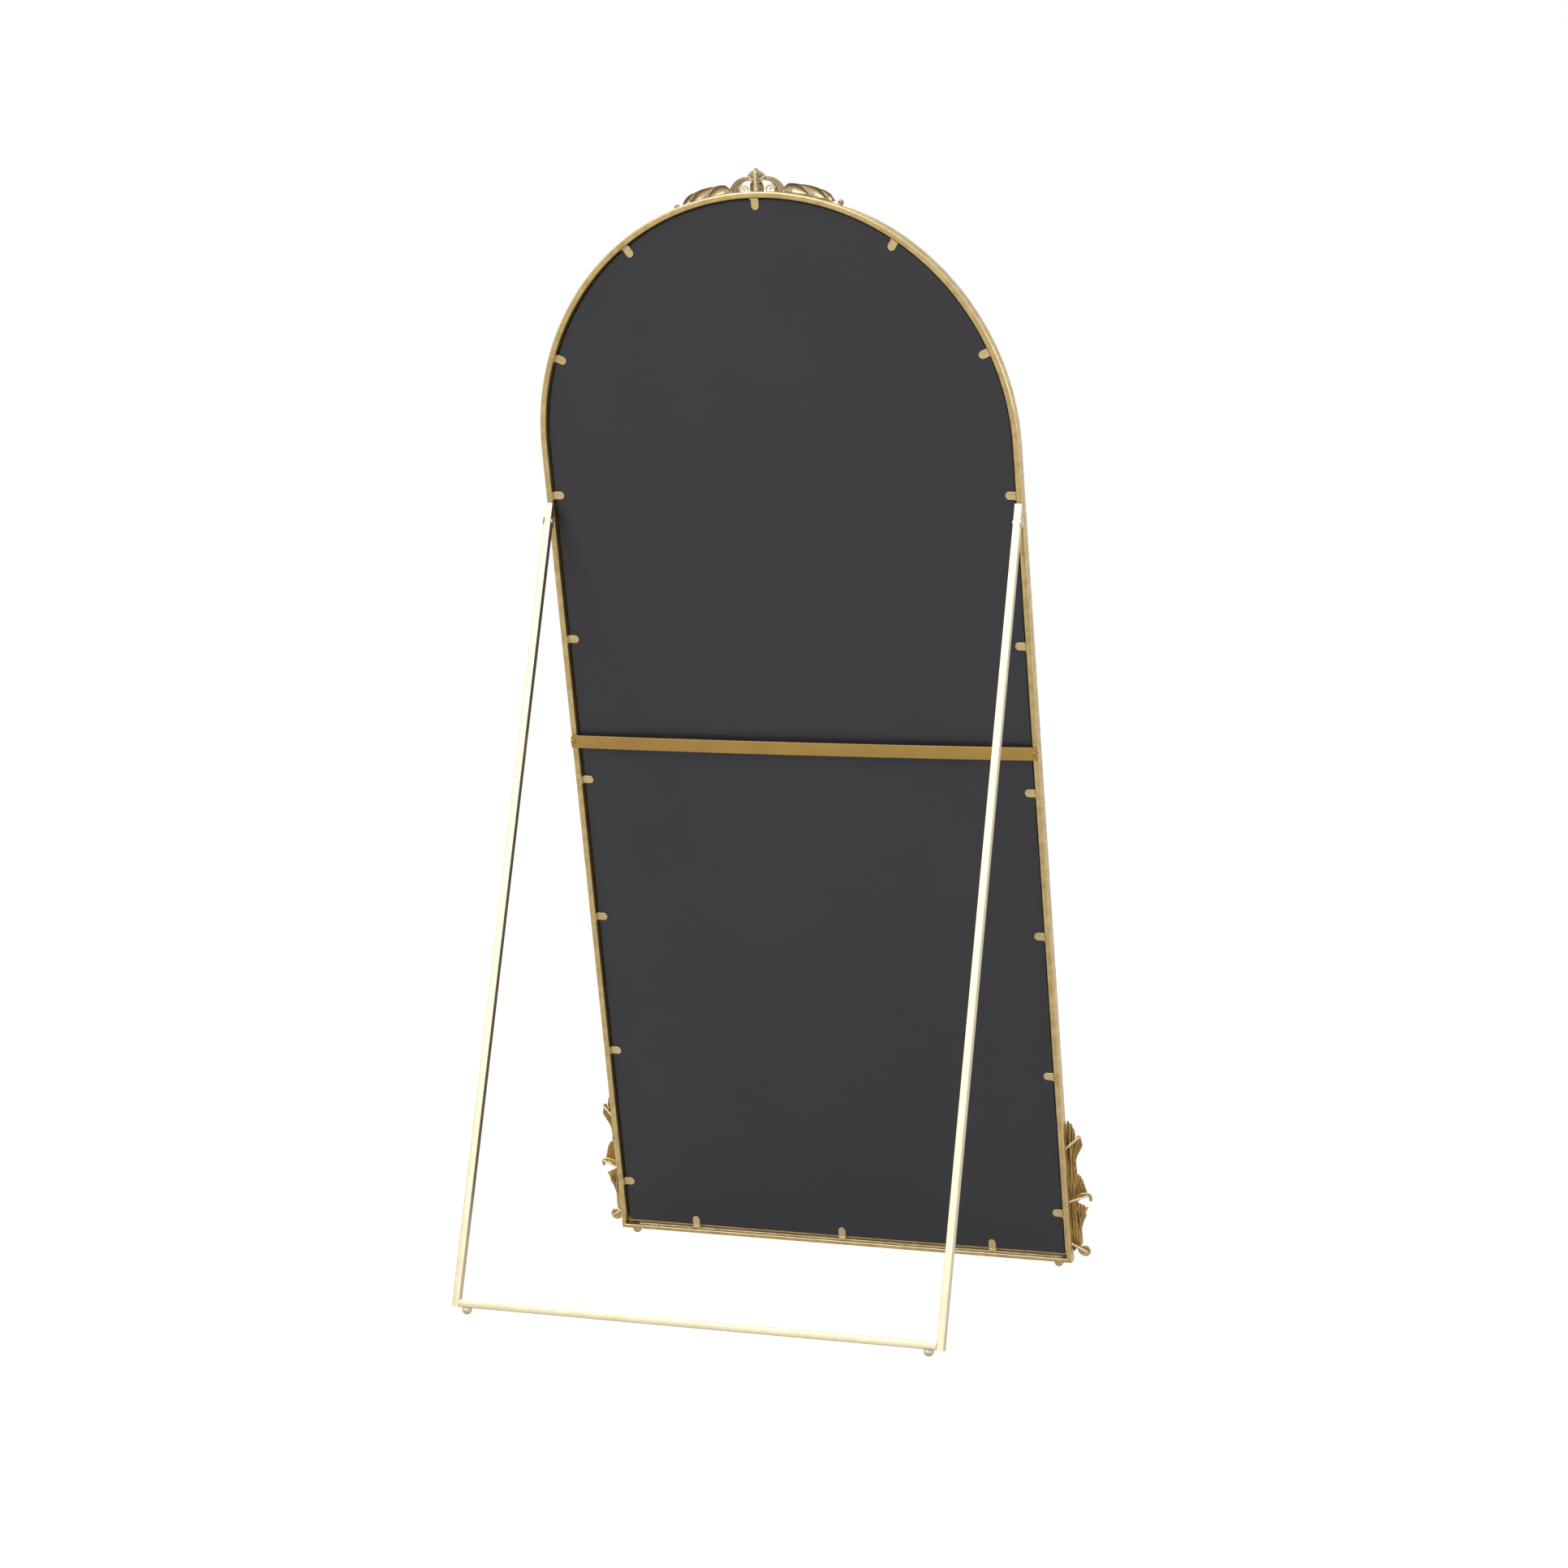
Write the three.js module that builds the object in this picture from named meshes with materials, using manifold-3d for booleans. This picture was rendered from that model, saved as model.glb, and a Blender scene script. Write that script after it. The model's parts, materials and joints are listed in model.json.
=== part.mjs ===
// A leaning floor mirror with an arched frame and a fold-out stand behind it.
// Millimetres, +Z up. The glass faces -Y, the stand stands on the +Y side, and the origin is on the
// floor, below the middle of the whole object.
//
// The mirror is modelled upright in its own group and then leaned back. In that group x runs across
// the mirror, z runs up along it, y = 0 is the frame's rear face and y = -FRAME_DEPTH its front.
// The stand has a group of its own, whose origin is the hinge axis and whose z runs up its legs.

import * as THREE from 'three';
import { mergeVertices } from 'three/addons/utils/BufferGeometryUtils.js';
import Module from 'manifold-3d';

const wasm = await Module();
wasm.setup();

// ---------------------------------------------------------------- driving dimensions

const FRAME_WIDTH = 762;            // over the frame
const STRAIGHT_HEIGHT = 1295;       // bottom edge to the springing of the half-round top
const FRAME_FACE = 9.5;             // width of the bar's face, front and rear
const FRAME_DEPTH = 18;             // front to rear
const FRAME_ROUNDING = 1.2;         // rounding of the bar's long edges
const LIP_REACH = 6;                // how far the front lip laps over the glass pocket
const LIP_THICKNESS = 2.5;
const CORNER_RISE = 22;             // height of the short upstands on the bottom rail
const ARCH_STEPS = 48;              // facets round the half circle

const LEAN_DEG = 13.2;              // mirror, back from the vertical
const OPEN_DEG = 29.5;              // between the mirror and the opened stand

const GLASS_THICKNESS = 5;
const GLASS_EDGE_GAP = 2;           // glass edge to the inner wall of the frame
const BACKING_THICKNESS = 2.5;
const BACKING_INSET = 1.2;          // backing's edge inside the glass's edge

const CLIP_WIDTH = 12;
const CLIP_REACH = 18;              // inner wall to the clip's tip
const CLIP_THICKNESS = 1.2;
const CLIP_BEND = 1.2;              // inner radius of the bend
const CLIP_FOOT_DROP = 1.5;         // clip foot's end, below the frame's rear face
const SIDE_CLIP_FIRST = 81;         // height of the lowest clip on each side
const SIDE_CLIP_TOP_DROP = 74;      // highest clip on each side, below the springing of the arch
const SIDE_CLIP_COUNT = 6;
const ARCH_CLIP_ANGLES = [22, 55, 90, 125, 158];
const BOTTOM_CLIP_PITCH = 251;
const BOTTOM_CLIP_COUNT = 3;

const STRAP_HEIGHT = 829.5;         // height of its centre line
const STRAP_WIDTH = 20.5;
const STRAP_THICKNESS = 3;
const STRAP_BOW = 6;                // how far its middle springs out to the rear
const STRAP_END_INSET = 0.5;
const STRAP_CHAMFER = 3;
const SCREW_SHANK_RADIUS = 2;
const SCREW_HEAD_RADIUS = 4;
const SCREW_HEAD_HEIGHT = 2.4;
const SCREW_BITE = 7;               // length in the frame

const PIVOT_HEIGHT = 1185.5;        // hinge axis, along the mirror from its bottom edge
const PIVOT_OFFSET = 12;            // hinge axis behind the frame's rear face
const LEG_SIZE = 11;                // square bar
const LEG_ROUNDING = 1.2;
const LEG_STUB = 27;                // leg above the hinge axis
const EAR_THICKNESS = 3;
const EAR_END_RADIUS = 3.6;
const EAR_BASE_UP = 10;
const EAR_BASE_DOWN = 14;
const SLOT_CLEARANCE = 0.3;         // each side of the ear
const SLOT_UP = 17;
const SLOT_DOWN = 12;
const SLOT_REAR_WALL = 1.6;
const BOLT_SHANK_RADIUS = 1.75;
const BOLT_HEAD_RADIUS = 7.5;
const BOLT_HEAD_HEIGHT = 1.6;
const NUT_RADIUS = 4;
const NUT_HEIGHT = 2.6;

const FOOT_RADIUS = 7.5;
const FOOT_RIM = 3;                 // height of its straight rim
const FOOT_DOME = 6.5;              // height of its dome
const FOOT_FLAT = 0.5;              // worn flat where it stands
const FOOT_INSET = 23;              // foot centre in from the frame's outer edge

const JOINT_GAP = 0.3;              // left between pieces that are welded, screwed or laid together

const DRAWING_STEP = 1;             // grid step of the castings' drawings
const CASTING_WALL = 1.7;           // in drawing steps, like the next ones up to the volute
const SHELL_WALL = 1.5;
const STRAND_BULGE = 1.2;           // a strand's height by its half width
const CREASE_SLANT = 0.13;
const LINES_PER_FLUTE = 2;
const SHELL_ROWS = 10;
const SHELL_COLUMNS = 4;
const VOLUTE_CENTRE = [16.5, 14.5];
const SLIVER = 0.2;                 // detail of a casting below this size is dropped
const ROD_RADIUS = 1.7;
const CREST_ROD_RADIUS = 2.2;
const CREST_ROD_LENGTH = 30;
const SIDE_ROD_Y = -9;
// [height on the frame, height at the casting, reach beyond the frame's outer edge], in steps
const SIDE_RODS = [[189, 207.5, 20.5], [100, 109.5, 29], [30, 13.5, 23]];

// ---------------------------------------------------------------- worked out from them

const HALF_WIDTH = FRAME_WIDTH / 2;
const ARCH_RADIUS = HALF_WIDTH;
const INNER_WALL = HALF_WIDTH - FRAME_FACE;
const FRAME_FRONT = -FRAME_DEPTH;
const LIP_REAR = FRAME_FRONT + LIP_THICKNESS;
const GLASS_FRONT = LIP_REAR + JOINT_GAP;
const BACKING_FRONT = GLASS_FRONT + GLASS_THICKNESS + JOINT_GAP;
const BACKING_REAR = BACKING_FRONT + BACKING_THICKNESS;
const LEAN = THREE.MathUtils.degToRad(LEAN_DEG);
const OPENING = THREE.MathUtils.degToRad(OPEN_DEG);
const STAND_LEAN = OPENING - LEAN;
const LEG_X = HALF_WIDTH - LEG_SIZE / 2;
const SPHERE_RADIUS = (FOOT_RADIUS ** 2 + FOOT_DOME ** 2) / (2 * FOOT_DOME);
const SPHERE_DROP = FOOT_RIM + FOOT_DOME + JOINT_GAP - SPHERE_RADIUS;   // sphere centre below the rail
const SPHERE_LEVEL = SPHERE_RADIUS - FOOT_FLAT;                         // sphere centre above the floor
const FOOT_Y = -FRAME_DEPTH / 2;
const SIDE_CLIP_PITCH = (STRAIGHT_HEIGHT - SIDE_CLIP_TOP_DROP - SIDE_CLIP_FIRST) / (SIDE_CLIP_COUNT - 1);

// height of the frame's lower rear edge that puts its feet on the floor
const BASE_LEVEL = SPHERE_LEVEL + SPHERE_DROP * Math.cos(LEAN) + FOOT_Y * Math.sin(LEAN);
const PIVOT_LEVEL = BASE_LEVEL + PIVOT_HEIGHT * Math.cos(LEAN) - PIVOT_OFFSET * Math.sin(LEAN);
const PIVOT_BACK = PIVOT_HEIGHT * Math.sin(LEAN) + PIVOT_OFFSET * Math.cos(LEAN);
const STAND_RAIL_LEVEL = SPHERE_LEVEL + SPHERE_DROP * Math.cos(STAND_LEAN);
const LEG_LENGTH = (PIVOT_LEVEL - STAND_RAIL_LEVEL) / Math.cos(STAND_LEAN);   // hinge axis to leg's end

// ---------------------------------------------------------------- finishes

const antiqueGold = new THREE.MeshStandardMaterial({ color: 0xb39a66, roughness: 0.42, metalness: 0.85 });
const ochreGold = new THREE.MeshStandardMaterial({ color: 0xa58245, roughness: 0.5, metalness: 0.7 });
const mirrorSilver = new THREE.MeshStandardMaterial({ color: 0xdfe4e6, roughness: 0.03, metalness: 1 });
const backingGrey = new THREE.MeshStandardMaterial({ color: 0x3c3d40, roughness: 0.45, metalness: 0 });

// ---------------------------------------------------------------- solids

function toSolid(geometry) {
  const bare = geometry.clone();
  bare.deleteAttribute('normal');
  bare.deleteAttribute('uv');
  const merged = mergeVertices(bare, 1e-4);
  return new wasm.Manifold(new wasm.Mesh({
    numProp: 3,
    vertProperties: new Float32Array(merged.attributes.position.array),
    triVerts: new Uint32Array(merged.index.array),
  }));
}

function toGeometry(solid) {
  const mesh = solid.getMesh();
  const geometry = new THREE.BufferGeometry();
  geometry.setAttribute('position', new THREE.BufferAttribute(new Float32Array(mesh.vertProperties), 3));
  geometry.setIndex(new THREE.BufferAttribute(new Uint32Array(mesh.triVerts), 1));
  geometry.computeVertexNormals();
  return geometry;
}

function boxBetween(low, high) {
  const size = high.map((value, axis) => value - low[axis]);
  const middle = high.map((value, axis) => (value + low[axis]) / 2);
  return new THREE.BoxGeometry(...size).translate(...middle);
}

// a closed body through rings of points; outline2D gives a ring's shape for the two end caps
function loft(rings, firstOutline, lastOutline = firstOutline) {
  const count = rings[0].length;
  const positions = rings.flat().flatMap((point) => [point.x, point.y, point.z]);
  const index = [];
  for (let ring = 0; ring < rings.length - 1; ring++) {
    for (let point = 0; point < count; point++) {
      const next = (point + 1) % count;
      const a = ring * count + point;
      const b = ring * count + next;
      index.push(a, b, b + count, a, b + count, a + count);
    }
  }
  const cap = (outline, offset, forward) => {
    const turn = Math.sign(THREE.ShapeUtils.area(outline));
    for (const [i, j, k] of THREE.ShapeUtils.triangulateShape(outline, [])) {
      const along = Math.sign(THREE.ShapeUtils.area([outline[i], outline[j], outline[k]])) === turn;
      index.push(...(along === forward ? [i, j, k] : [i, k, j]).map((corner) => corner + offset));
    }
  };
  cap(firstOutline, 0, false);
  cap(lastOutline, (rings.length - 1) * count, true);
  const geometry = new THREE.BufferGeometry();
  geometry.setAttribute('position', new THREE.Float32BufferAttribute(positions, 3));
  geometry.setIndex(index);
  return faceOutwards(geometry);
}

function faceOutwards(geometry) {
  const at = geometry.attributes.position;
  const corner = (i) => new THREE.Vector3().fromBufferAttribute(at, geometry.index.getX(i));
  let volume = 0;
  for (let i = 0; i < geometry.index.count; i += 3) {
    volume += corner(i).dot(corner(i + 1).cross(corner(i + 2)));
  }
  if (volume < 0) geometry.index.array.reverse();
  geometry.computeVertexNormals();
  return geometry;
}

// outline with its corners rounded in two facets; corners are [x, y, radius]
function roundedOutline(corners, facets = 2) {
  return corners.flatMap(([x, y, radius], i) => {
    if (!radius) return [new THREE.Vector2(x, y)];
    const here = new THREE.Vector2(x, y);
    const before = new THREE.Vector2(...corners.at(i - 1).slice(0, 2)).sub(here).setLength(radius);
    const after = new THREE.Vector2(...corners[(i + 1) % corners.length].slice(0, 2)).sub(here).setLength(radius);
    const centre = here.clone().add(before).add(after);
    return Array.from({ length: facets + 1 }, (_, step) => {
      const angle = (step / facets) * Math.PI / 2;
      return centre.clone().addScaledVector(after, -Math.cos(angle)).addScaledVector(before, -Math.sin(angle));
    });
  });
}

const model = new THREE.Group();
const mirror = new THREE.Group();
const stand = new THREE.Group();
model.add(mirror, stand);
mirror.rotation.x = -LEAN;
mirror.position.z = BASE_LEVEL;
stand.rotation.x = STAND_LEAN;
stand.position.set(0, PIVOT_BACK, PIVOT_LEVEL);

function addPiece(group, name, shape, material) {
  const geometry = shape.isBufferGeometry ? shape : toGeometry(shape);
  const mesh = new THREE.Mesh(geometry, material);
  mesh.name = name;
  group.add(mesh);
  return mesh;
}

// ---------------------------------------------------------------- frame

// the bar's section: first coordinate outwards from its outer edge, second is y
const barSection = roundedOutline([
  [0, 0, FRAME_ROUNDING],
  [0, FRAME_FRONT, FRAME_ROUNDING],
  [-FRAME_FACE - LIP_REACH, FRAME_FRONT, FRAME_ROUNDING],
  [-FRAME_FACE - LIP_REACH, LIP_REAR, 0],
  [-FRAME_FACE, LIP_REAR, 0],
  [-FRAME_FACE, 0, FRAME_ROUNDING],
]);

// a station is a point of the outer edge and the direction that leads outwards there
function sweepBar(stations) {
  const rings = stations.map(({ x, z, outX, outZ }) => barSection.map(
    ({ x: out, y }) => new THREE.Vector3(x + out * outX, y, z + out * outZ)));
  return loft(rings, barSection);
}

function archStations() {
  const foot = CORNER_RISE + JOINT_GAP;
  const arc = Array.from({ length: ARCH_STEPS + 1 }, (_, step) => {
    const angle = Math.PI * step / ARCH_STEPS;
    const [outX, outZ] = [Math.cos(angle), Math.sin(angle)];
    return { x: ARCH_RADIUS * outX, z: STRAIGHT_HEIGHT + ARCH_RADIUS * outZ, outX, outZ };
  });
  return [
    { x: HALF_WIDTH, z: foot, outX: 1, outZ: 0 },
    ...arc,
    { x: -HALF_WIDTH, z: foot, outX: -1, outZ: 0 },
  ];
}

function bottomRailStations() {
  return [
    { x: -HALF_WIDTH, z: CORNER_RISE, outX: -1, outZ: 0 },
    { x: -HALF_WIDTH, z: 0, outX: -1, outZ: -1 },
    { x: HALF_WIDTH, z: 0, outX: 1, outZ: -1 },
    { x: HALF_WIDTH, z: CORNER_RISE, outX: 1, outZ: 0 },
  ];
}

const screwX = HALF_WIDTH - FRAME_FACE / 2;

// a screw's or its hole's cylinder, along y from rear to front, at the frame's side
function cylinderAlongY(radius, rearY, frontY, x, z, facets = 12) {
  return new THREE.CylinderGeometry(radius, radius, rearY - frontY, facets)
    .translate(x, (rearY + frontY) / 2, z);
}

function frameArch() {
  let solid = toSolid(sweepBar(archStations()));
  for (const side of [-1, 1]) {
    const hole = cylinderAlongY(SCREW_SHANK_RADIUS + JOINT_GAP, 1, -SCREW_BITE - 1, side * screwX, STRAP_HEIGHT);
    solid = solid.subtract(toSolid(hole));
  }
  return solid;
}

addPiece(mirror, 'frame_arch', frameArch(), antiqueGold);
addPiece(mirror, 'frame_bottom_rail', sweepBar(bottomRailStations()), antiqueGold);

// ---------------------------------------------------------------- glass and its backing

function archedPlate(edgeGap, frontY, thickness) {
  const half = INNER_WALL - edgeGap;
  const bottom = FRAME_FACE + edgeGap;
  const outline = new THREE.Shape();
  outline.moveTo(-half, bottom);
  outline.lineTo(half, bottom);
  outline.lineTo(half, STRAIGHT_HEIGHT);
  outline.absarc(0, STRAIGHT_HEIGHT, half, 0, Math.PI, false);
  outline.closePath();
  const plate = new THREE.ExtrudeGeometry(outline, { depth: thickness, bevelEnabled: false, curveSegments: ARCH_STEPS });
  return plate.rotateX(Math.PI / 2).translate(0, frontY + thickness, 0);
}

addPiece(mirror, 'mirror_glass', archedPlate(GLASS_EDGE_GAP, GLASS_FRONT, GLASS_THICKNESS), mirrorSilver);
addPiece(mirror, 'rear_backing',
  archedPlate(GLASS_EDGE_GAP + BACKING_INSET, BACKING_FRONT, BACKING_THICKNESS), backingGrey);

// ---------------------------------------------------------------- retaining clips

// the bent strip seen from its edge: x leads inwards from the wall, y is the mirror's y
function clipProfile() {
  const tongueRear = BACKING_REAR + JOINT_GAP + CLIP_THICKNESS;
  const tongueFront = BACKING_REAR + JOINT_GAP;
  const centre = [CLIP_THICKNESS + CLIP_BEND, tongueRear + CLIP_BEND];
  const profile = new THREE.Shape();
  profile.moveTo(0, -CLIP_FOOT_DROP);
  profile.lineTo(0, centre[1]);
  profile.absarc(...centre, CLIP_THICKNESS + CLIP_BEND, Math.PI, 1.5 * Math.PI, false);
  profile.lineTo(CLIP_REACH - JOINT_GAP, tongueFront);
  profile.lineTo(CLIP_REACH - JOINT_GAP, tongueRear);
  profile.absarc(...centre, CLIP_BEND, 1.5 * Math.PI, Math.PI, true);
  profile.lineTo(CLIP_THICKNESS, -CLIP_FOOT_DROP);
  profile.closePath();
  return profile;
}

function clipGeometry() {
  const strip = new THREE.ExtrudeGeometry(clipProfile(), { depth: CLIP_WIDTH, bevelEnabled: false, curveSegments: 3 })
    .translate(0, 0, -CLIP_WIDTH / 2);
  const radius = CLIP_WIDTH / 2;
  const plan = new THREE.Shape();
  plan.moveTo(-1, -radius);
  plan.lineTo(CLIP_REACH - JOINT_GAP - radius, -radius);
  plan.absarc(CLIP_REACH - JOINT_GAP - radius, 0, radius, -Math.PI / 2, Math.PI / 2, false);
  plan.lineTo(-1, radius);
  plan.closePath();
  const cutter = new THREE.ExtrudeGeometry(plan, { depth: FRAME_DEPTH, bevelEnabled: false, curveSegments: 6 })
    .rotateX(Math.PI / 2);
  return toGeometry(toSolid(strip).intersect(toSolid(cutter)));
}

const clipShape = clipGeometry();

function addClip(name, x, z, outwardsDeg) {
  const clip = addPiece(mirror, name, clipShape, antiqueGold);
  const outwards = THREE.MathUtils.degToRad(outwardsDeg);
  clip.position.set(x - JOINT_GAP * Math.cos(outwards), 0, z - JOINT_GAP * Math.sin(outwards));
  clip.rotation.y = Math.PI - outwards;
}

for (let i = 0; i < SIDE_CLIP_COUNT; i++) {
  const z = SIDE_CLIP_FIRST + i * SIDE_CLIP_PITCH;
  addClip(`clip_right_${i + 1}`, INNER_WALL, z, 0);
  addClip(`clip_left_${i + 1}`, -INNER_WALL, z, 180);
}
ARCH_CLIP_ANGLES.forEach((degrees, i) => {
  const angle = THREE.MathUtils.degToRad(degrees);
  addClip(`clip_arch_${i + 1}`, INNER_WALL * Math.cos(angle), STRAIGHT_HEIGHT + INNER_WALL * Math.sin(angle), degrees);
});
for (let i = 0; i < BOTTOM_CLIP_COUNT; i++) {
  addClip(`clip_bottom_${i + 1}`, (i - (BOTTOM_CLIP_COUNT - 1) / 2) * BOTTOM_CLIP_PITCH, FRAME_FACE, 270);
}

// ---------------------------------------------------------------- cross strap

const strapHalf = HALF_WIDTH - STRAP_END_INSET;
const strapFront = (x) => JOINT_GAP + STRAP_BOW * (1 - (x / strapHalf) ** 2);

function crossStrap() {
  const steps = 24;
  const along = Array.from({ length: steps + 1 }, (_, i) => -strapHalf + 2 * strapHalf * i / steps);
  const front = along.map((x) => new THREE.Vector2(x, strapFront(x)));
  const rear = along.map((x) => new THREE.Vector2(x, strapFront(x) + STRAP_THICKNESS)).reverse();
  const band = new THREE.ExtrudeGeometry(new THREE.Shape([...front, ...rear]), { depth: STRAP_WIDTH, bevelEnabled: false })
    .translate(0, 0, STRAP_HEIGHT - STRAP_WIDTH / 2);
  const [low, high] = [STRAP_HEIGHT - STRAP_WIDTH / 2, STRAP_HEIGHT + STRAP_WIDTH / 2];
  const face = new THREE.Shape([
    [-strapHalf, low], [strapHalf, low], [strapHalf, high - STRAP_CHAMFER], [strapHalf - STRAP_CHAMFER, high],
    [-strapHalf + STRAP_CHAMFER, high], [-strapHalf, high - STRAP_CHAMFER],
  ].map((corner) => new THREE.Vector2(...corner)));
  const reach = STRAP_BOW + STRAP_THICKNESS + 2;
  const cutter = new THREE.ExtrudeGeometry(face, { depth: reach, bevelEnabled: false })
    .rotateX(Math.PI / 2).translate(0, reach - 1, 0);
  let solid = toSolid(band).intersect(toSolid(cutter));
  for (const side of [-1, 1]) {
    solid = solid.subtract(toSolid(cylinderAlongY(
      SCREW_SHANK_RADIUS + JOINT_GAP, reach, -1, side * screwX, STRAP_HEIGHT)));
  }
  return solid;
}

function panHeadScrew(x) {
  const seat = strapFront(x) + STRAP_THICKNESS + JOINT_GAP;
  const profile = [
    [0, -SCREW_BITE], [SCREW_SHANK_RADIUS, -SCREW_BITE], [SCREW_SHANK_RADIUS, seat], [SCREW_HEAD_RADIUS, seat],
    [SCREW_HEAD_RADIUS, seat + 0.45 * SCREW_HEAD_HEIGHT], [0.75 * SCREW_HEAD_RADIUS, seat + 0.85 * SCREW_HEAD_HEIGHT],
    [0.4 * SCREW_HEAD_RADIUS, seat + SCREW_HEAD_HEIGHT], [0, seat + SCREW_HEAD_HEIGHT],
  ].map((point) => new THREE.Vector2(...point));
  return new THREE.LatheGeometry(profile, 12).translate(x, 0, STRAP_HEIGHT);
}

addPiece(mirror, 'cross_strap', crossStrap(), ochreGold);
addPiece(mirror, 'strap_screw_right', panHeadScrew(screwX), ochreGold);
addPiece(mirror, 'strap_screw_left', panHeadScrew(-screwX), ochreGold);

// ---------------------------------------------------------------- feet

// a domed glide that hangs below (x, y, z) of a group, cut flat where it meets the floor
function footSolid(group, x, y, z) {
  const top = z - JOINT_GAP;
  const domeAngle = Math.asin(FOOT_RADIUS / SPHERE_RADIUS);
  const profile = [new THREE.Vector2(0, 0), new THREE.Vector2(FOOT_RADIUS, 0)];
  const domeSteps = 5;
  for (let i = 0; i <= domeSteps; i++) {
    const angle = domeAngle * (1 - i / domeSteps);
    const drop = FOOT_RIM + FOOT_DOME - SPHERE_RADIUS + SPHERE_RADIUS * Math.cos(angle);
    profile.push(new THREE.Vector2(SPHERE_RADIUS * Math.sin(angle), -drop));
  }
  const dome = new THREE.LatheGeometry(profile.reverse(), 14).rotateX(Math.PI / 2).translate(x, y, top);
  group.updateMatrixWorld(true);
  const reach = 4 * FOOT_RADIUS;
  const middle = group.localToWorld(new THREE.Vector3(x, y, top));
  const aboveFloor = boxBetween([middle.x - reach, middle.y - reach, 0], [middle.x + reach, middle.y + reach, reach]);
  aboveFloor.applyMatrix4(group.matrixWorld.clone().invert());
  return toSolid(dome).intersect(toSolid(aboveFloor));
}

// ---------------------------------------------------------------- stand

function squareBar(size, rounding, low, high, x) {
  const half = size / 2;
  const outline = roundedOutline([
    [half, half, rounding], [-half, half, rounding], [-half, -half, rounding], [half, -half, rounding],
  ]);
  const rings = [low, high].map((z) => outline.map((point) => new THREE.Vector3(x + point.x, point.y, z)));
  return loft(rings, outline);
}

function cylinderAlongX(radius, fromX, toX, y, z, facets = 16) {
  return new THREE.CylinderGeometry(radius, radius, Math.abs(toX - fromX), facets)
    .rotateZ(Math.PI / 2).translate((fromX + toX) / 2, y, z);
}

function standLeg(side) {
  const x = side * LEG_X;
  let leg = toSolid(squareBar(LEG_SIZE, LEG_ROUNDING, -LEG_LENGTH, LEG_STUB, x));
  // the stub is cut off level with the frame's rear face, where it bears when the stand is open
  const reach = 200;
  const mirrorSide = boxBetween([x - reach, -reach, -reach], [x + reach, JOINT_GAP - PIVOT_OFFSET, reach])
    .rotateX(-OPENING);
  leg = leg.subtract(toSolid(mirrorSide));
  const slotHalf = EAR_THICKNESS / 2 + SLOT_CLEARANCE;
  leg = leg.subtract(toSolid(boxBetween(
    [x - slotHalf, -LEG_SIZE, -SLOT_DOWN], [x + slotHalf, LEG_SIZE / 2 - SLOT_REAR_WALL, SLOT_UP])));
  return leg.subtract(toSolid(cylinderAlongX(
    BOLT_SHANK_RADIUS + JOINT_GAP, x - LEG_SIZE, x + LEG_SIZE, 0, 0)));
}

function standRail() {
  const half = LEG_X - LEG_SIZE / 2 - JOINT_GAP;
  return squareBar(LEG_SIZE, LEG_ROUNDING, -half, half, 0)
    .rotateY(Math.PI / 2).translate(0, 0, -LEG_LENGTH + LEG_SIZE / 2);
}

// a flat plate on the frame's rear face, rounded about the hinge axis
function hingeEar(side) {
  const outline = new THREE.Shape();
  outline.moveTo(JOINT_GAP, PIVOT_HEIGHT - EAR_BASE_DOWN);
  outline.lineTo(PIVOT_OFFSET, PIVOT_HEIGHT - EAR_END_RADIUS);
  outline.absarc(PIVOT_OFFSET, PIVOT_HEIGHT, EAR_END_RADIUS, -Math.PI / 2, Math.PI / 2, false);
  outline.lineTo(JOINT_GAP, PIVOT_HEIGHT + EAR_BASE_UP);
  outline.closePath();
  const bore = new THREE.Path();
  bore.absarc(PIVOT_OFFSET, PIVOT_HEIGHT, BOLT_SHANK_RADIUS + JOINT_GAP, 0, 2 * Math.PI, false);
  outline.holes.push(bore);
  // the outline's x, y become the mirror's y, z
  const plate = new THREE.ExtrudeGeometry(outline, { depth: EAR_THICKNESS, bevelEnabled: false, curveSegments: 8 });
  const turn = new THREE.Matrix4().makeBasis(
    new THREE.Vector3(0, 1, 0), new THREE.Vector3(0, 0, 1), new THREE.Vector3(1, 0, 0));
  return plate.applyMatrix4(turn).translate(side * LEG_X - EAR_THICKNESS / 2, 0, 0);
}

// turned pieces on the hinge axis: the profile's height is counted outwards from the leg's middle
function onHingeAxis(side, profile) {
  const points = profile.map(([radius, height]) => new THREE.Vector2(radius, height));
  return new THREE.LatheGeometry(points, 16).rotateZ(-side * Math.PI / 2).translate(side * LEG_X, 0, 0);
}

function pivotBolt(side) {
  const seat = LEG_SIZE / 2 + JOINT_GAP;
  const end = -LEG_SIZE / 2 - JOINT_GAP - 0.5 * NUT_HEIGHT;
  return onHingeAxis(side, [
    [0, end], [BOLT_SHANK_RADIUS, end], [BOLT_SHANK_RADIUS, seat], [BOLT_HEAD_RADIUS, seat],
    [BOLT_HEAD_RADIUS, seat + 0.6 * BOLT_HEAD_HEIGHT], [0.85 * BOLT_HEAD_RADIUS, seat + BOLT_HEAD_HEIGHT],
    [0, seat + BOLT_HEAD_HEIGHT],
  ]);
}

function pivotNut(side) {
  const seat = -LEG_SIZE / 2 - JOINT_GAP;
  const bore = BOLT_SHANK_RADIUS + JOINT_GAP;
  const blind = seat - 0.5 * NUT_HEIGHT - JOINT_GAP;
  return onHingeAxis(side, [
    [0, seat - NUT_HEIGHT], [0.5 * NUT_RADIUS, seat - 0.94 * NUT_HEIGHT], [0.87 * NUT_RADIUS, seat - 0.7 * NUT_HEIGHT],
    [NUT_RADIUS, seat - 0.35 * NUT_HEIGHT], [NUT_RADIUS, seat], [bore, seat], [bore, blind], [0, blind],
  ]);
}

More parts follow.
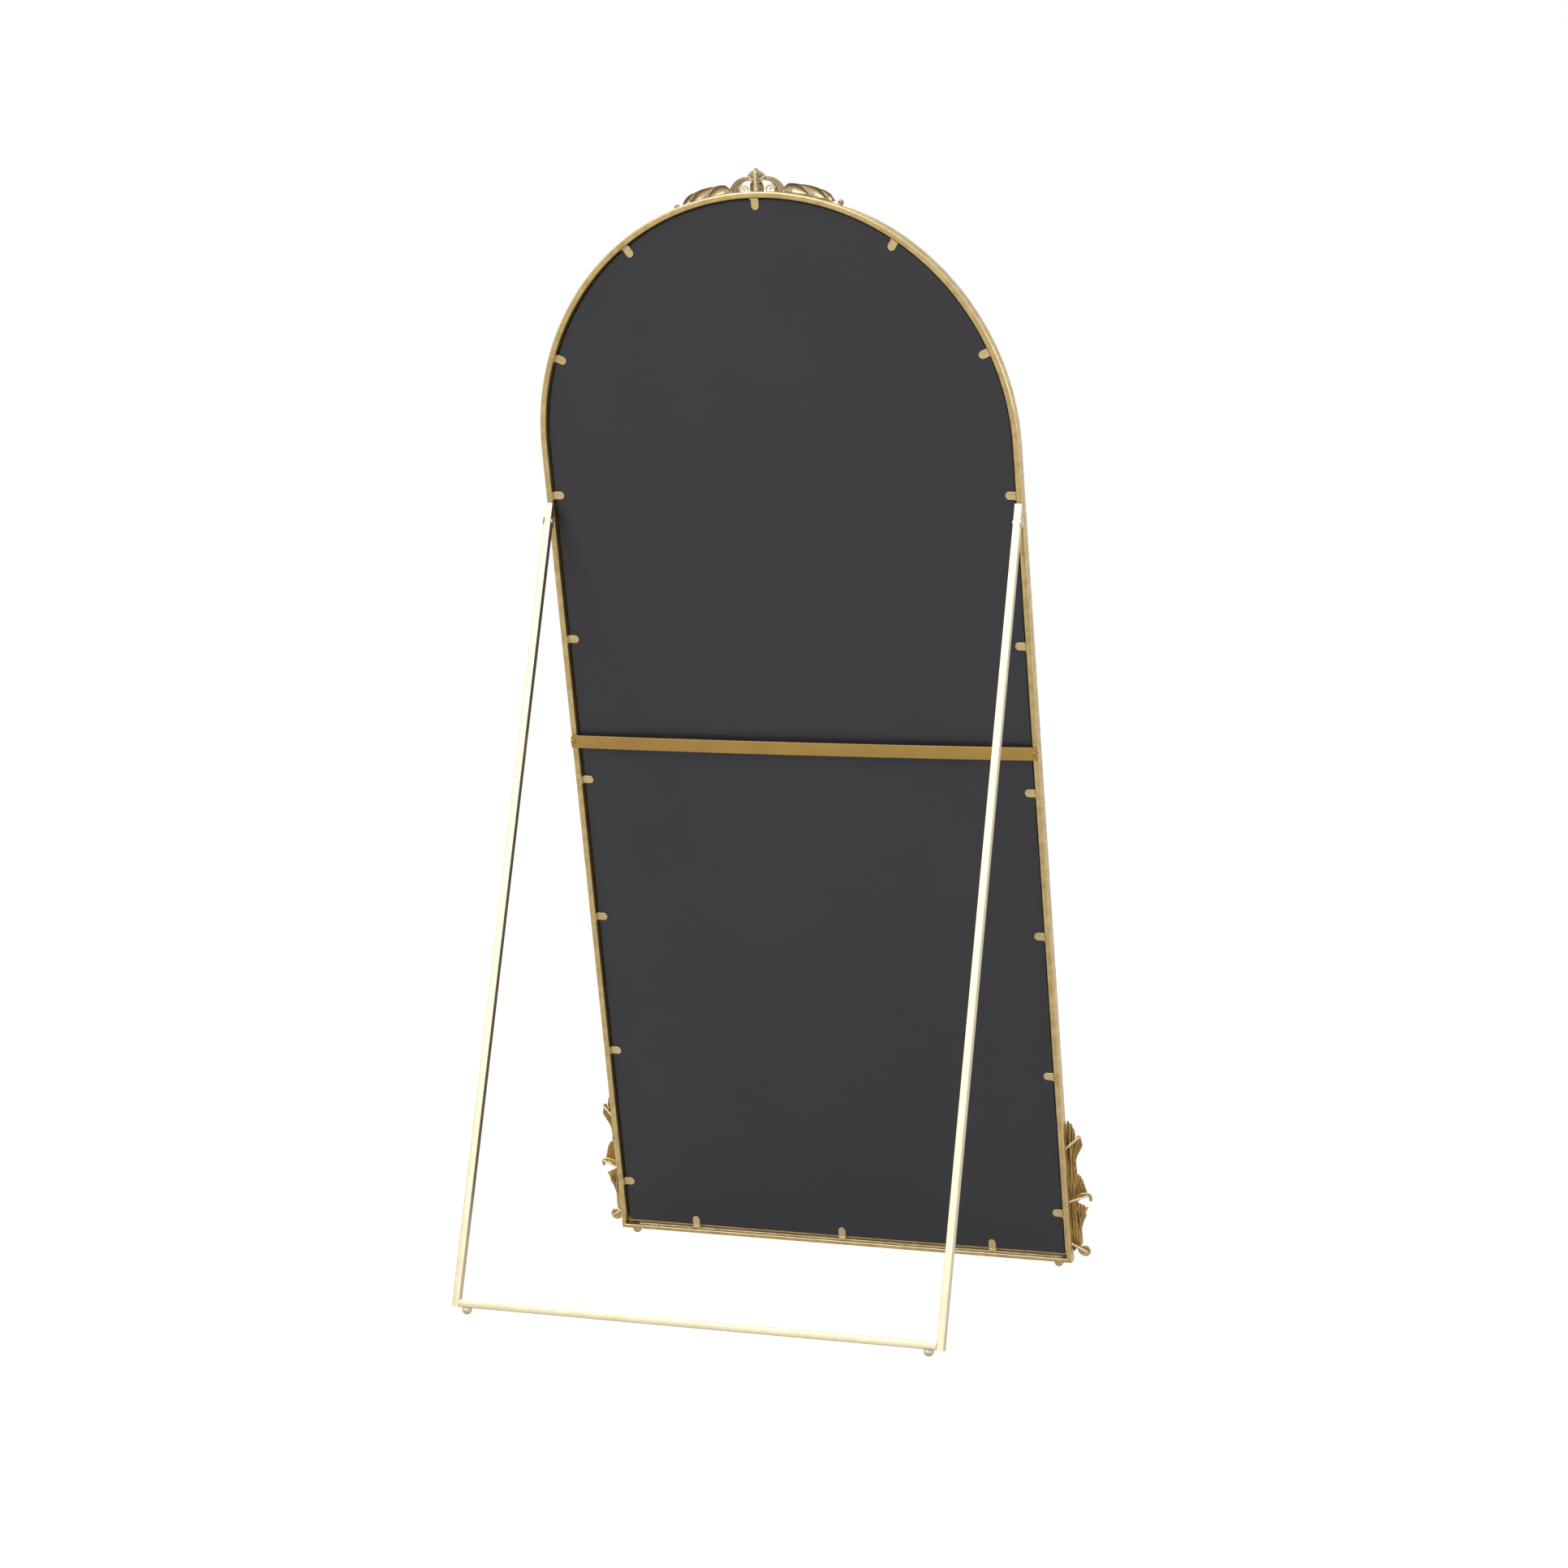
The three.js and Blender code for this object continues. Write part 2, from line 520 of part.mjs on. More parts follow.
for (const [side, word] of [[1, 'right'], [-1, 'left']]) {
  addPiece(mirror, `hinge_ear_${word}`, hingeEar(side), antiqueGold);
  addPiece(mirror, `frame_foot_${word}`, footSolid(mirror, side * (HALF_WIDTH - FOOT_INSET), FOOT_Y, 0), antiqueGold);
  addPiece(stand, `stand_leg_${word}`, standLeg(side), antiqueGold);
  addPiece(stand, `pivot_bolt_${word}`, pivotBolt(side), antiqueGold);
  addPiece(stand, `pivot_nut_${word}`, pivotNut(side), antiqueGold);
  addPiece(stand, `stand_foot_${word}`, footSolid(stand, side * (HALF_WIDTH - FOOT_INSET), 0, -LEG_LENGTH), antiqueGold);
}
addPiece(stand, 'stand_rail', standRail(), antiqueGold);

// ---------------------------------------------------------------- castings

// A casting is drawn on a plane of its own: `out` from the frame's outer edge, `along` the frame
// and `front` forwards of its front face, in drawing steps. A placer takes such a point into the
// mirror's group. Fans, shells and strands are drawn one over the other and joined.

const placeOnArch = (side) => (out, along, front) => {
  const angle = side * along * DRAWING_STEP / ARCH_RADIUS;
  const radius = ARCH_RADIUS + out * DRAWING_STEP;
  return new THREE.Vector3(
    radius * Math.sin(angle),
    FRAME_FRONT - JOINT_GAP - front * DRAWING_STEP,
    STRAIGHT_HEIGHT + radius * Math.cos(angle));
};

const placeOnSide = (side) => (out, along, front) => new THREE.Vector3(
  side * (HALF_WIDTH + out * DRAWING_STEP),
  FRAME_FRONT - JOINT_GAP - front * DRAWING_STEP,
  along * DRAWING_STEP);

const between = (from, to, share) => from.map((value, axis) => THREE.MathUtils.lerp(value, to[axis], share));

function curveThrough(points) {
  const knots = points.map(([out, along, front = 0]) => new THREE.Vector3(out, along, front));
  return new THREE.CatmullRomCurve3(knots, false, 'centripetal');
}

// where a curve runs at u, and the direction across it on the casting's plane
function stationAt(curve, u) {
  const point = curve.getPointAt(u);
  const ahead = curve.getTangentAt(u);
  return { point, across: new THREE.Vector3(ahead.y, -ahead.x, 0).normalize() };
}

// height read from evenly spaced values
function along(values, share) {
  const at = share * (values.length - 1);
  const index = Math.min(Math.floor(at), values.length - 2);
  return THREE.MathUtils.lerp(values[index], values[index + 1], at - index);
}

// a closed sheet of one thickness; rows hold [out, along, front] points of its front face
function thickSheet(place, rows, wall) {
  const columns = rows[0].length;
  const front = rows.flat();
  const rear = front.map(([out, beside, height]) => [out, beside, height - wall]);
  const count = front.length;
  const index = [];
  const quad = (a, b, c, d) => index.push(a, b, c, a, c, d);
  for (let row = 0; row < rows.length - 1; row++) {
    for (let column = 0; column < columns - 1; column++) {
      const a = row * columns + column;
      quad(a, a + 1, a + columns + 1, a + columns);
      quad(a + count, a + columns + count, a + columns + 1 + count, a + 1 + count);
    }
  }
  const last = count - columns;
  const rim = [];
  for (let column = 0; column < columns - 1; column++) rim.push(column);
  for (let row = 0; row < rows.length - 1; row++) rim.push(row * columns + columns - 1);
  for (let column = columns - 1; column > 0; column--) rim.push(last + column);
  for (let row = rows.length - 1; row > 0; row--) rim.push(row * columns);
  rim.forEach((here, i) => {
    const after = rim[(i + 1) % rim.length];
    quad(after, here, here + count, after + count);
  });
  const geometry = new THREE.BufferGeometry();
  const points = [...front, ...rear].flatMap((point) => place(...point).toArray());
  geometry.setAttribute('position', new THREE.Float32BufferAttribute(points, 3));
  geometry.setIndex(index);
  return toSolid(faceOutwards(geometry));
}

// An acanthus leaf: flutes run from the roots of two borders to their tips, side by side, and end
// in a scalloped edge. Borders lead from root to end; every tip ends one flute.
function fan(place, { left, right, tips, lift = [2.2, 4.2, 2.2], flute = 1.3, notch = 0.1, rows = 2 }) {
  const ends = [left.at(-1)];
  for (let i = 1; i < tips.length; i++) {
    const bend = between(left.at(-2), right.at(-2), i / tips.length);
    ends.push(between(between(tips[i - 1], tips[i], 0.5), bend, notch));
  }
  ends.push(right.at(-1));
  const lines = [];
  for (let line = 0; line <= tips.length * LINES_PER_FLUTE; line++) {
    const rib = Math.min(Math.floor(line / LINES_PER_FLUTE), tips.length - 1);
    const within = line / LINES_PER_FLUTE - rib;
    const swell = Math.sqrt(Math.max(0, 1 - (2 * within - 1) ** 2));
    const edge = between(ends[rib], ends[rib + 1], within);
    const middle = between(ends[rib], ends[rib + 1], 0.5);
    const end = edge.map((value, axis) => value + (tips[rib][axis] - middle[axis]) * swell);
    const share = line / (tips.length * LINES_PER_FLUTE);
    const curve = curveThrough([...left.slice(0, -1).map((point, i) => between(point, right[i], share)), end]);
    lines.push(Array.from({ length: rows + 1 }, (_, row) => {
      const run = row / rows;
      const { x: out, y: beside } = curve.getPointAt(run);
      return [out, beside, along(lift, run) + flute * swell * Math.min(1, 0.25 + 2 * run)];
    }));
  }
  return thickSheet(place, lines, CASTING_WALL);
}

// A leaf of puffed lobes in a row, hollow at the rear. Creases are the shares of its length where
// one lobe meets the next; they run aslant across it.
function lobedShell(place, { spine, widths, creases, crown }) {
  const curve = curveThrough(spine);
  const rows = [];
  for (let row = 0; row <= SHELL_ROWS; row++) {
    const share = row / SHELL_ROWS;
    const { point, across } = stationAt(curve, share);
    const taper = Math.min(1, 5 * share + 0.25, 5 * (1 - share) + 0.25);
    rows.push(Array.from({ length: SHELL_COLUMNS + 1 }, (_, column) => {
      const side = -1 + 2 * column / SHELL_COLUMNS;
      const slanted = share + CREASE_SLANT * side;
      const lobe = creases.findLastIndex((crease) => crease <= slanted);
      const puff = lobe < 0 || lobe === creases.length - 1 ? 0
        : Math.sin(Math.PI * (slanted - creases[lobe]) / (creases[lobe + 1] - creases[lobe])) ** 0.6;
      const height = crown * Math.sqrt(1 - side * side) * (0.35 + 0.65 * puff) * taper;
      const reach = side * along(widths, share);
      return [point.x + across.x * reach, point.y + across.y * reach, SHELL_WALL + height];
    }));
  }
  return thickSheet(place, rows, SHELL_WALL);
}

// a stem, hook or scroll: a tapered half-round strand along its spine, flat at the rear
function strand(place, { spine, thick, thin, steps, sides = 3 }) {
  const curve = curveThrough(spine);
  const rings = [];
  let outline;
  for (let i = 0; i <= steps; i++) {
    const u = i / steps;
    const { point, across } = stationAt(curve, u);
    const radius = THREE.MathUtils.lerp(thick, thin, u);
    outline = Array.from({ length: sides + 1 }, (_, j) => {
      const angle = Math.PI * j / sides;
      return new THREE.Vector2(radius * Math.cos(angle), radius * Math.sin(angle) * STRAND_BULGE);
    });
    rings.push(outline.map(({ x: side, y: lift }) => place(
      point.x + side * across.x, point.y + side * across.y, point.z + lift)));
  }
  return toSolid(loft(rings, outline));
}

// a round boss; its profile is [radius, height] pairs from the rear forwards
function boss(place, [out, beside], profile) {
  const facets = 8;
  let outline;
  const rings = profile.map(([radius, height]) => {
    outline = Array.from({ length: facets }, (_, j) => new THREE.Vector2(
      radius * Math.cos(2 * Math.PI * j / facets), radius * Math.sin(2 * Math.PI * j / facets)));
    return outline.map((point) => place(out + point.x, beside + point.y, height));
  });
  return toSolid(loft(rings, outline));
}

const knob = (radius) => [0, 0.25, 0.45].map((turn) => [
  radius * Math.cos(Math.PI * turn), radius * Math.sin(Math.PI * turn)]);

// Leaves laid one over the other enclose small voids. They are filled by keeping the outer skin
// alone, which is the largest set of triangles that hang together.
function filled(solid) {
  const { vertProperties, triVerts } = solid.getMesh();
  const link = Array.from({ length: vertProperties.length / 3 }, (_, vertex) => vertex);
  const root = (vertex) => {
    while (link[vertex] !== vertex) vertex = link[vertex] = link[link[vertex]];
    return vertex;
  };
  for (let i = 0; i < triVerts.length; i += 3) {
    for (const corner of [i + 1, i + 2]) link[root(triVerts[corner])] = root(triVerts[i]);
  }
  const skins = new Map();
  triVerts.forEach((vertex) => {
    const skin = root(vertex);
    if (!skins.has(skin)) skins.set(skin, []);
    skins.get(skin).push(vertex);
  });
  const [outer] = [...skins.values()].sort((a, b) => b.length - a.length);
  return new wasm.Manifold(new wasm.Mesh({ numProp: 3, vertProperties, triVerts: new Uint32Array(outer) }));
}

const casting = (solids) => filled(solids.reduce((sum, solid) => sum.add(solid)).simplify(SLIVER));

// one half of the crest: C-scroll with its volute, leaf along the arch with a curl at its end,
// half a palmette and half of the pendant below
function crestHalf(place) {
  return [
    fan(place, { left: [[16, 1], [19.3, 13], [17.8, 25], [12.5, 35], [2, 44], [-6, 47]],
      right: [[9, 1], [12.2, 11], [11.5, 19], [7, 25.5], [-1, 28.5], [-8, 28]],
      tips: [[-7, 44], [-8, 38], [-9, 32]], lift: [2.6, 4.2, 2], flute: 2, notch: 0.03, rows: 6 }),
    lobedShell(place, { spine: [[-1, 43], [3, 56], [4, 80], [2.8, 103], [-2.5, 122]],
      widths: [3.5, 9.5, 9.3, 9, 8.8, 8.6, 8.2, 7, 3], creases: [-0.14, 0.43, 0.8, 1.14], crown: 6.5 }),
    fan(place, { left: [[12, 0], [20, 0], [30, 0]], right: [[13, 4], [15, 9], [18.5, 14.5]],
      tips: [[32.2, 1.6], [28, 7.6], [22, 12.8]], lift: [2.4, 4.4, 2.4] }),
    fan(place, { left: [[-9, 0], [-14, 0], [-25, 0]], right: [[-9, 6], [-12, 11], [-17, 13]],
      tips: [[-26.5, 2], [-20, 10.5]], lift: [2.2, 3.6, 2] }),
    strand(place, { spine: [[-8, 26, 0], [-5, 17.5, 0], [0, 15, 0], [3.4, 18, 0], [1.6, 22, 0], [-1.2, 20.4, 0]],
      thick: 2.4, thin: 1.6, steps: 9 }),
    strand(place, { spine: [[-8, 4, 0], [-8, 24, 0], [-7.4, 46, 0]], thick: 2.4, thin: 2.4, steps: 2 }),
    strand(place, { spine: [[-6, 114, 0], [-2.5, 124, 0], [-1, 130, 0]], thick: 2.6, thin: 2, steps: 2 }),
    boss(place, [0, 131.5], knob(4.4)),
  ];
}

const crestCasting = () => casting([
  ...crestHalf(placeOnArch(1)),
  ...crestHalf(placeOnArch(-1)),
  // the drop between the scrolls, the knob under it and the seat of the rod
  fan(placeOnArch(1), { left: [[17, -1.5], [9, -9.5], [-1, -11], [-9, -7]], right: [[17, 1.5], [9, 9.5], [-1, 11], [-9, 7]],
    tips: [[-13, 0]], lift: [2.2, 2.4, 2], flute: 4.5, rows: 4 }),
  boss(placeOnArch(1), [-10, 0], knob(3.4)),
  boss(placeOnArch(1), [25, 0], knob(3)),
]);

// an upright stem with a volute at its foot; leaves turn outwards, and smaller ones over the frame
function sideCasting(side) {
  const place = placeOnSide(side);
  const flat = [1.8, 2.8, 1.9];
  return casting([
    // outer leaves, from the top down
    fan(place, { left: [[-7, 110], [-9, 165], [-5, 212]], right: [[5, 110], [7.2, 165], [12.5, 205]],
      tips: [[-3, 222], [1.8, 231.5], [7.5, 226], [11.8, 216]] }),
    fan(place, { left: [[6, 130], [6.5, 165], [13.5, 202]], right: [[10.2, 138], [11.8, 164], [21.5, 187]],
      tips: [[16.5, 208], [20.8, 205], [23, 198], [22.6, 190]], rows: 3 }),
    fan(place, { left: [[4, 102], [6, 120], [9.5, 141]], right: [[12, 98], [19, 104], [25.5, 111]],
      tips: [[12.5, 143], [17.3, 139.5], [21, 132], [23.6, 124], [25.2, 115.5]], flute: 1.5 }),
    fan(place, { left: [[3, 28], [3.4, 62], [6.5, 96]], right: [[13, 26], [14.8, 54], [22.6, 71]],
      tips: [[9, 97.5], [14.5, 92.8], [20.5, 90.5], [26.8, 87.5], [26, 80], [23.8, 73.5]], flute: 1.5, rows: 3 }),
    // inner leaves
    fan(place, { left: [[-8, 122], [-8, 165], [-5, 208]], right: [[-9.5, 118], [-12, 150], [-14.5, 180]],
      tips: [[-9, 212], [-14, 203], [-15.8, 190]], lift: flat }),
    fan(place, { left: [[-6.6, 100], [-6.8, 118], [-6, 140]], right: [[-7, 97], [-11.5, 100], [-16, 105]],
      tips: [[-9, 141], [-15.5, 132], [-18.4, 116]], lift: flat }),
    fan(place, { left: [[-6.4, 42], [-6.8, 70], [-6.4, 95]], right: [[-7, 36], [-10, 52], [-14, 66]],
      tips: [[-9, 96], [-16, 88], [-18.5, 74]], lift: flat }),
    fan(place, { left: [[5, 35], [-4, 31], [-11, 28]], right: [[7, 22], [-2, 11], [-13, 3.5]],
      tips: [[-15.5, 26], [-23.6, 19], [-22.8, 9.5], [-16.5, 4]], lift: flat }),
    // the web along the stem, the stem itself, the tendril and the volute
    fan(place, { left: [[-7.2, 34], [-7.6, 74], [-7.8, 112]], right: [[4, 34], [4.4, 74], [6, 112]],
      tips: [[-5, 116], [2, 116]], lift: [2, 3.2, 2.4] }),
    strand(place, { spine: [[1, 124, 1], [3, 80, 1.5], [7.5, 50, 1.5], [9.5, 30, 0.5], [9, 20, 0]],
      thick: 2, thin: 3.8, steps: 6 }),
    strand(place, { spine: [[8, 104, 0.5], [15, 108.5, 0.5], [24, 109.5, 0], [30.3, 107, 0], [31.6, 101.5, 0]],
      thick: 3.2, thin: 2.6, steps: 6 }),
    strand(place, { spine: [[9, 26, 0], [7.6, 14, 0], [13.5, 8.2, 0], [21, 8.4, 0], [24.4, 14.5, 0], [21, 21.2, 0]],
      thick: 2.8, thin: 2.4, steps: 9 }),
    boss(place, VOLUTE_CENTRE, [[7.4, 0], [7.4, 1.6], [2.4, 4.6]]),
    ...SIDE_RODS.slice(0, 2).map(([, height, reach]) => boss(place, [reach - 3, height - 3], knob(2.6))),
  ]);
}

function rodBetween(from, to, radius) {
  const axis = new THREE.Vector3().subVectors(to, from);
  const turn = new THREE.Quaternion().setFromUnitVectors(new THREE.Vector3(0, 1, 0), axis.clone().normalize());
  return new THREE.CylinderGeometry(radius, radius, axis.length(), 8)
    .applyQuaternion(turn).translate(...from.clone().lerp(to, 0.5));
}

addPiece(mirror, 'crest_casting', crestCasting(), antiqueGold);
addPiece(mirror, 'crest_rod', rodBetween(
  new THREE.Vector3(0, FRAME_FRONT + CREST_ROD_RADIUS, STRAIGHT_HEIGHT + ARCH_RADIUS + JOINT_GAP),
  new THREE.Vector3(0, FRAME_FRONT + CREST_ROD_RADIUS, STRAIGHT_HEIGHT + ARCH_RADIUS + CREST_ROD_LENGTH),
  CREST_ROD_RADIUS), antiqueGold);
for (const [side, word] of [[1, 'right'], [-1, 'left']]) {
  addPiece(mirror, `side_casting_${word}`, sideCasting(side), antiqueGold);
  const beside = boxBetween([HALF_WIDTH + JOINT_GAP, FRAME_FRONT - JOINT_GAP, 0], [2 * HALF_WIDTH, 0, STRAIGHT_HEIGHT]);
  beside.translate(side < 0 ? -3 * HALF_WIDTH - JOINT_GAP : 0, 0, 0);
  SIDE_RODS.forEach(([fromZ, toZ, reach], i) => {
    // the rod is aimed from inside the bar and cut off flush with the bar's outer side
    const from = new THREE.Vector3(side * (HALF_WIDTH - FRAME_FACE / 2), SIDE_ROD_Y, fromZ * DRAWING_STEP);
    const to = new THREE.Vector3(
      side * (HALF_WIDTH + reach * DRAWING_STEP), FRAME_FRONT + ROD_RADIUS, toZ * DRAWING_STEP);
    const rod = toSolid(rodBetween(from, to, ROD_RADIUS)).intersect(toSolid(beside));
    addPiece(mirror, `side_rod_${word}_${i + 1}`, rod, antiqueGold);
  });
}

// ---------------------------------------------------------------- origin

// the model is moved so that z runs up through the middle of its own footprint
model.updateMatrixWorld(true);
const extent = new THREE.Box3().setFromObject(model, true);
model.position.y = -(extent.min.y + extent.max.y) / 2;

export default model;
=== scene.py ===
# %% [markdown]
# # A leaning floor mirror with an arched gilt frame, seen from behind
#
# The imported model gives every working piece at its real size. This script dresses it: finer bars,
# clips, screws and castings, aged gilding, a silvered glass, and soft studio light.
# Each step says what the real piece is and why it is made the way it is.

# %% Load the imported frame
import json
import math

import bmesh
import bpy
import numpy as np
from mathutils import Matrix, Vector


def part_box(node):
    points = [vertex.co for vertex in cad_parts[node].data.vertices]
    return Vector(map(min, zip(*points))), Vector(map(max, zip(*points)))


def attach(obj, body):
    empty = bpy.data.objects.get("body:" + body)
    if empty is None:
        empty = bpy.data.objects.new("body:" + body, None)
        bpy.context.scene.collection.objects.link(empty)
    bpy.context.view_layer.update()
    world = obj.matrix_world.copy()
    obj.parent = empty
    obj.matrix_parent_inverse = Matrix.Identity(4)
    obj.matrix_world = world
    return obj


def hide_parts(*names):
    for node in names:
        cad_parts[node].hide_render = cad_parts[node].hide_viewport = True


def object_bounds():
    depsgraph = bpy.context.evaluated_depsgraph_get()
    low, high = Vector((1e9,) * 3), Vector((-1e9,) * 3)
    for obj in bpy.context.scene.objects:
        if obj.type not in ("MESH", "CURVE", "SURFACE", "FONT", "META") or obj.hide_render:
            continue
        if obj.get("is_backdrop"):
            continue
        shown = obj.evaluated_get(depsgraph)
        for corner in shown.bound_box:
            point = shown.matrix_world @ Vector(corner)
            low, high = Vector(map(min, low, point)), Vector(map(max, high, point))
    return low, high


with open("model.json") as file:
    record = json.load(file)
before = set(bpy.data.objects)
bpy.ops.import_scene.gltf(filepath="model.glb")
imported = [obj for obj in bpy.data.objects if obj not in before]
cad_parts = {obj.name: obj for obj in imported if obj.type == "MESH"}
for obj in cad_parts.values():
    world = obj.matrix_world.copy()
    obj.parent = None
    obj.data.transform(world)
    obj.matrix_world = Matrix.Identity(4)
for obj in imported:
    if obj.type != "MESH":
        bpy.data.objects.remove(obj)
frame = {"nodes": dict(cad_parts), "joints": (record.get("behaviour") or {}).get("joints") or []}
cad_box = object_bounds()
print("CAD box", [round(value, 4) for corner in cad_box for value in corner])

# %% [markdown]
# ## Two workshop coordinate systems
#
# The mirror leans back and the stand leans forward, so neither is square to the floor. It is easier
# to work on each as if it lay flat on a bench: x across, z up along the piece, y out of its rear
# face, in millimetres. One matrix for each then carries finished vertices to their real place.
# The directions are read from CAD nodes: the top and bottom clips are the same shape turned round,
# so the line between their middles runs exactly up the mirror.

# %% Find the mirror's and the stand's own axes
MM = 0.001
ACROSS = Vector((1, 0, 0))
SIDES = ((1, "right"), (-1, "left"))


def mean_point(node):
    points = [vertex.co for vertex in frame["nodes"][node].data.vertices]
    return sum(points, Vector()) / len(points)


def bench_matrix(origin, up):
    rear = up.cross(ACROSS)
    turn = Matrix((ACROSS, rear, up)).transposed().to_4x4()
    return Matrix.Translation(origin) @ turn @ Matrix.Scale(MM, 4)


mirror_up = (mean_point("clip_arch_3") - mean_point("clip_bottom_2")).normalized()
mirror_rear = mirror_up.cross(ACROSS)
rail_points = [vertex.co for vertex in frame["nodes"]["frame_bottom_rail"].data.vertices]
base = (mirror_up * min(point.dot(mirror_up) for point in rail_points)
        + mirror_rear * max(point.dot(mirror_rear) for point in rail_points))
MIRROR_BENCH = bench_matrix(base, mirror_up)

pivot = Vector(frame["joints"][0]["pos_m"])
stand_up = (pivot - mean_point("stand_rail")).normalized()
STAND_BENCH = bench_matrix(pivot, stand_up)
print("mirror leans", round(math.degrees(math.acos(mirror_up.z)), 2), "deg,",
      "stand leans", round(math.degrees(math.acos(stand_up.z)), 2), "deg")

# %% [markdown]
# ## The camera
#
# The photograph was taken from behind the mirror, five metres away and a little above its middle,
# with a short telephoto lens. The position and angles were worked out from the corners of the
# frame, so a straight edge in the render falls on the same straight edge in the photograph.

# %% Set the camera
CAMERA_LENS = 82.49                      # mm
SENSOR_WIDTH = 36                        # mm
CAMERA_FROM_BASE = Vector((-1.9508, 5.2970, 1.1989))
CAMERA_YAW = math.radians(21.149)        # to the right of the mirror's own square-on line
CAMERA_PITCH = math.radians(4.68)        # down


def new_object(name, data):
    made = bpy.data.objects.new(name, data)
    bpy.context.scene.collection.objects.link(made)
    return made


camera_data = bpy.data.cameras.new("camera")
camera_data.lens = CAMERA_LENS
camera_data.sensor_width = SENSOR_WIDTH
camera = new_object("camera", camera_data)
camera.location = base + CAMERA_FROM_BASE
looking = Vector((math.sin(CAMERA_YAW) * math.cos(CAMERA_PITCH),
                  -math.cos(CAMERA_YAW) * math.cos(CAMERA_PITCH), -math.sin(CAMERA_PITCH)))
camera.rotation_euler = looking.to_track_quat("-Z", "Y").to_euler()
bpy.context.scene.camera = camera
bpy.context.scene.view_settings.view_transform = "Standard"
print("camera at", [round(value, 3) for value in camera.location])

# %% [markdown]
# ## The studio
#
# The object stands in a white studio. A metal surface shows what is around it, so the surroundings
# matter as much as the lamps. The world is white to the camera and to reflections and dimmer as a
# light, so that the lamps still shape the bars. The big lamp hangs high behind the camera: the
# stand's rear faces lean towards it and flash, while the frame's rear face leans away.

# %% Build the world
def new_tree(owner):
    owner.use_nodes = True
    owner.node_tree.nodes.clear()
    return owner.node_tree


def add_node(tree, kind, inputs=None, **settings):
    node = tree.nodes.new(kind)
    for name, value in settings.items():
        setattr(node, name, value)
    for name, value in (inputs or {}).items():
        if isinstance(value, bpy.types.NodeSocket):
            tree.links.new(value, node.inputs[name])
        else:
            node.inputs[name].default_value = value
    return node


def math_node(tree, operation, first, second=0.0, clamp=False):
    node = add_node(tree, "ShaderNodeMath", {0: first, 1: second}, operation=operation, use_clamp=clamp)
    return node.outputs[0]


def light_path(tree):
    """Two values: is it seen by the camera itself, and is it seen in metal or through glass."""
    path = add_node(tree, "ShaderNodeLightPath").outputs
    mirrored = math_node(tree, "MAXIMUM", path["Is Glossy Ray"], path["Is Transmission Ray"])
    return path["Is Camera Ray"], mirrored


WORLD_LIGHT = 0.62                       # as a light; to the camera and in metal it is 1, white
world = bpy.data.worlds.new("studio")
bpy.context.scene.world = world
tree = new_tree(world)
lit = add_node(tree, "ShaderNodeBackground", {"Color": (0.95, 0.97, 1.0, 1), "Strength": WORLD_LIGHT})
shown = add_node(tree, "ShaderNodeBackground", {"Color": (1, 1, 1, 1), "Strength": 1.0})
seen = math_node(tree, "MAXIMUM", *light_path(tree))
choice = add_node(tree, "ShaderNodeMixShader", {0: seen, 1: lit.outputs[0], 2: shown.outputs[0]})
add_node(tree, "ShaderNodeOutputWorld", {"Surface": choice.outputs[0]})
print("world with", len(tree.nodes), "nodes")

# %% Build the floor and the lamps
FLOOR_HALF = 14.0
SHADOW_SHARE = 0.12                      # of the floor's look is real light and shadow
FLOOR_GLOW = 1.1                         # with that share, the floor comes out just white
MIRRORED_SHARE = 0.6                     # of the glow shows in metal
floor_mesh = bpy.data.meshes.new("floor")
floor_mesh.from_pydata([(-FLOOR_HALF, -FLOOR_HALF, 0), (FLOOR_HALF, -FLOOR_HALF, 0),
                        (FLOOR_HALF, FLOOR_HALF, 0), (-FLOOR_HALF, FLOOR_HALF, 0)], [], [(0, 1, 2, 3)])
floor = new_object("floor", floor_mesh)
floor_paint = bpy.data.materials.new("white_floor")
tree = new_tree(floor_paint)
paint = add_node(tree, "ShaderNodeBsdfPrincipled", {"Base Color": (0.8, 0.8, 0.8, 1), "Roughness": 0.9})
white = add_node(tree, "ShaderNodeEmission", {"Color": (1, 1, 1, 1), "Strength": FLOOR_GLOW})
direct, mirrored = light_path(tree)
share = math_node(tree, "MAXIMUM", math_node(tree, "MULTIPLY", mirrored, MIRRORED_SHARE),
                  math_node(tree, "MULTIPLY", direct, 1 - SHADOW_SHARE))
blend = add_node(tree, "ShaderNodeMixShader", {0: share, 1: paint.outputs[0], 2: white.outputs[0]})
add_node(tree, "ShaderNodeOutputMaterial", {"Surface": blend.outputs[0]})
floor_mesh.materials.append(floor_paint)
floor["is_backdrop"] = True


def area_lamp(name, location, target, size, power, colour=(1, 1, 1)):
    data = bpy.data.lights.new(name, "AREA")
    data.size = size
    data.energy = power
    data.color = colour
    lamp = new_object(name, data)
    lamp.location = location
    lamp.rotation_euler = (Vector(target) - Vector(location)).to_track_quat("-Z", "Y").to_euler()


MIDDLE = (0, 0, 0.85)
area_lamp("big_softbox", (1.9, 5.0, 3.9), MIDDLE, 4.4, 190, (1.0, 0.985, 0.96))
area_lamp("front_softbox", (2.2, -4.6, 3.4), MIDDLE, 2.6, 120)
area_lamp("side_softbox", (-4.4, -0.6, 2.2), MIDDLE, 2.0, 60)
print("a floor", 2 * FLOOR_HALF, "m wide and three lamps")

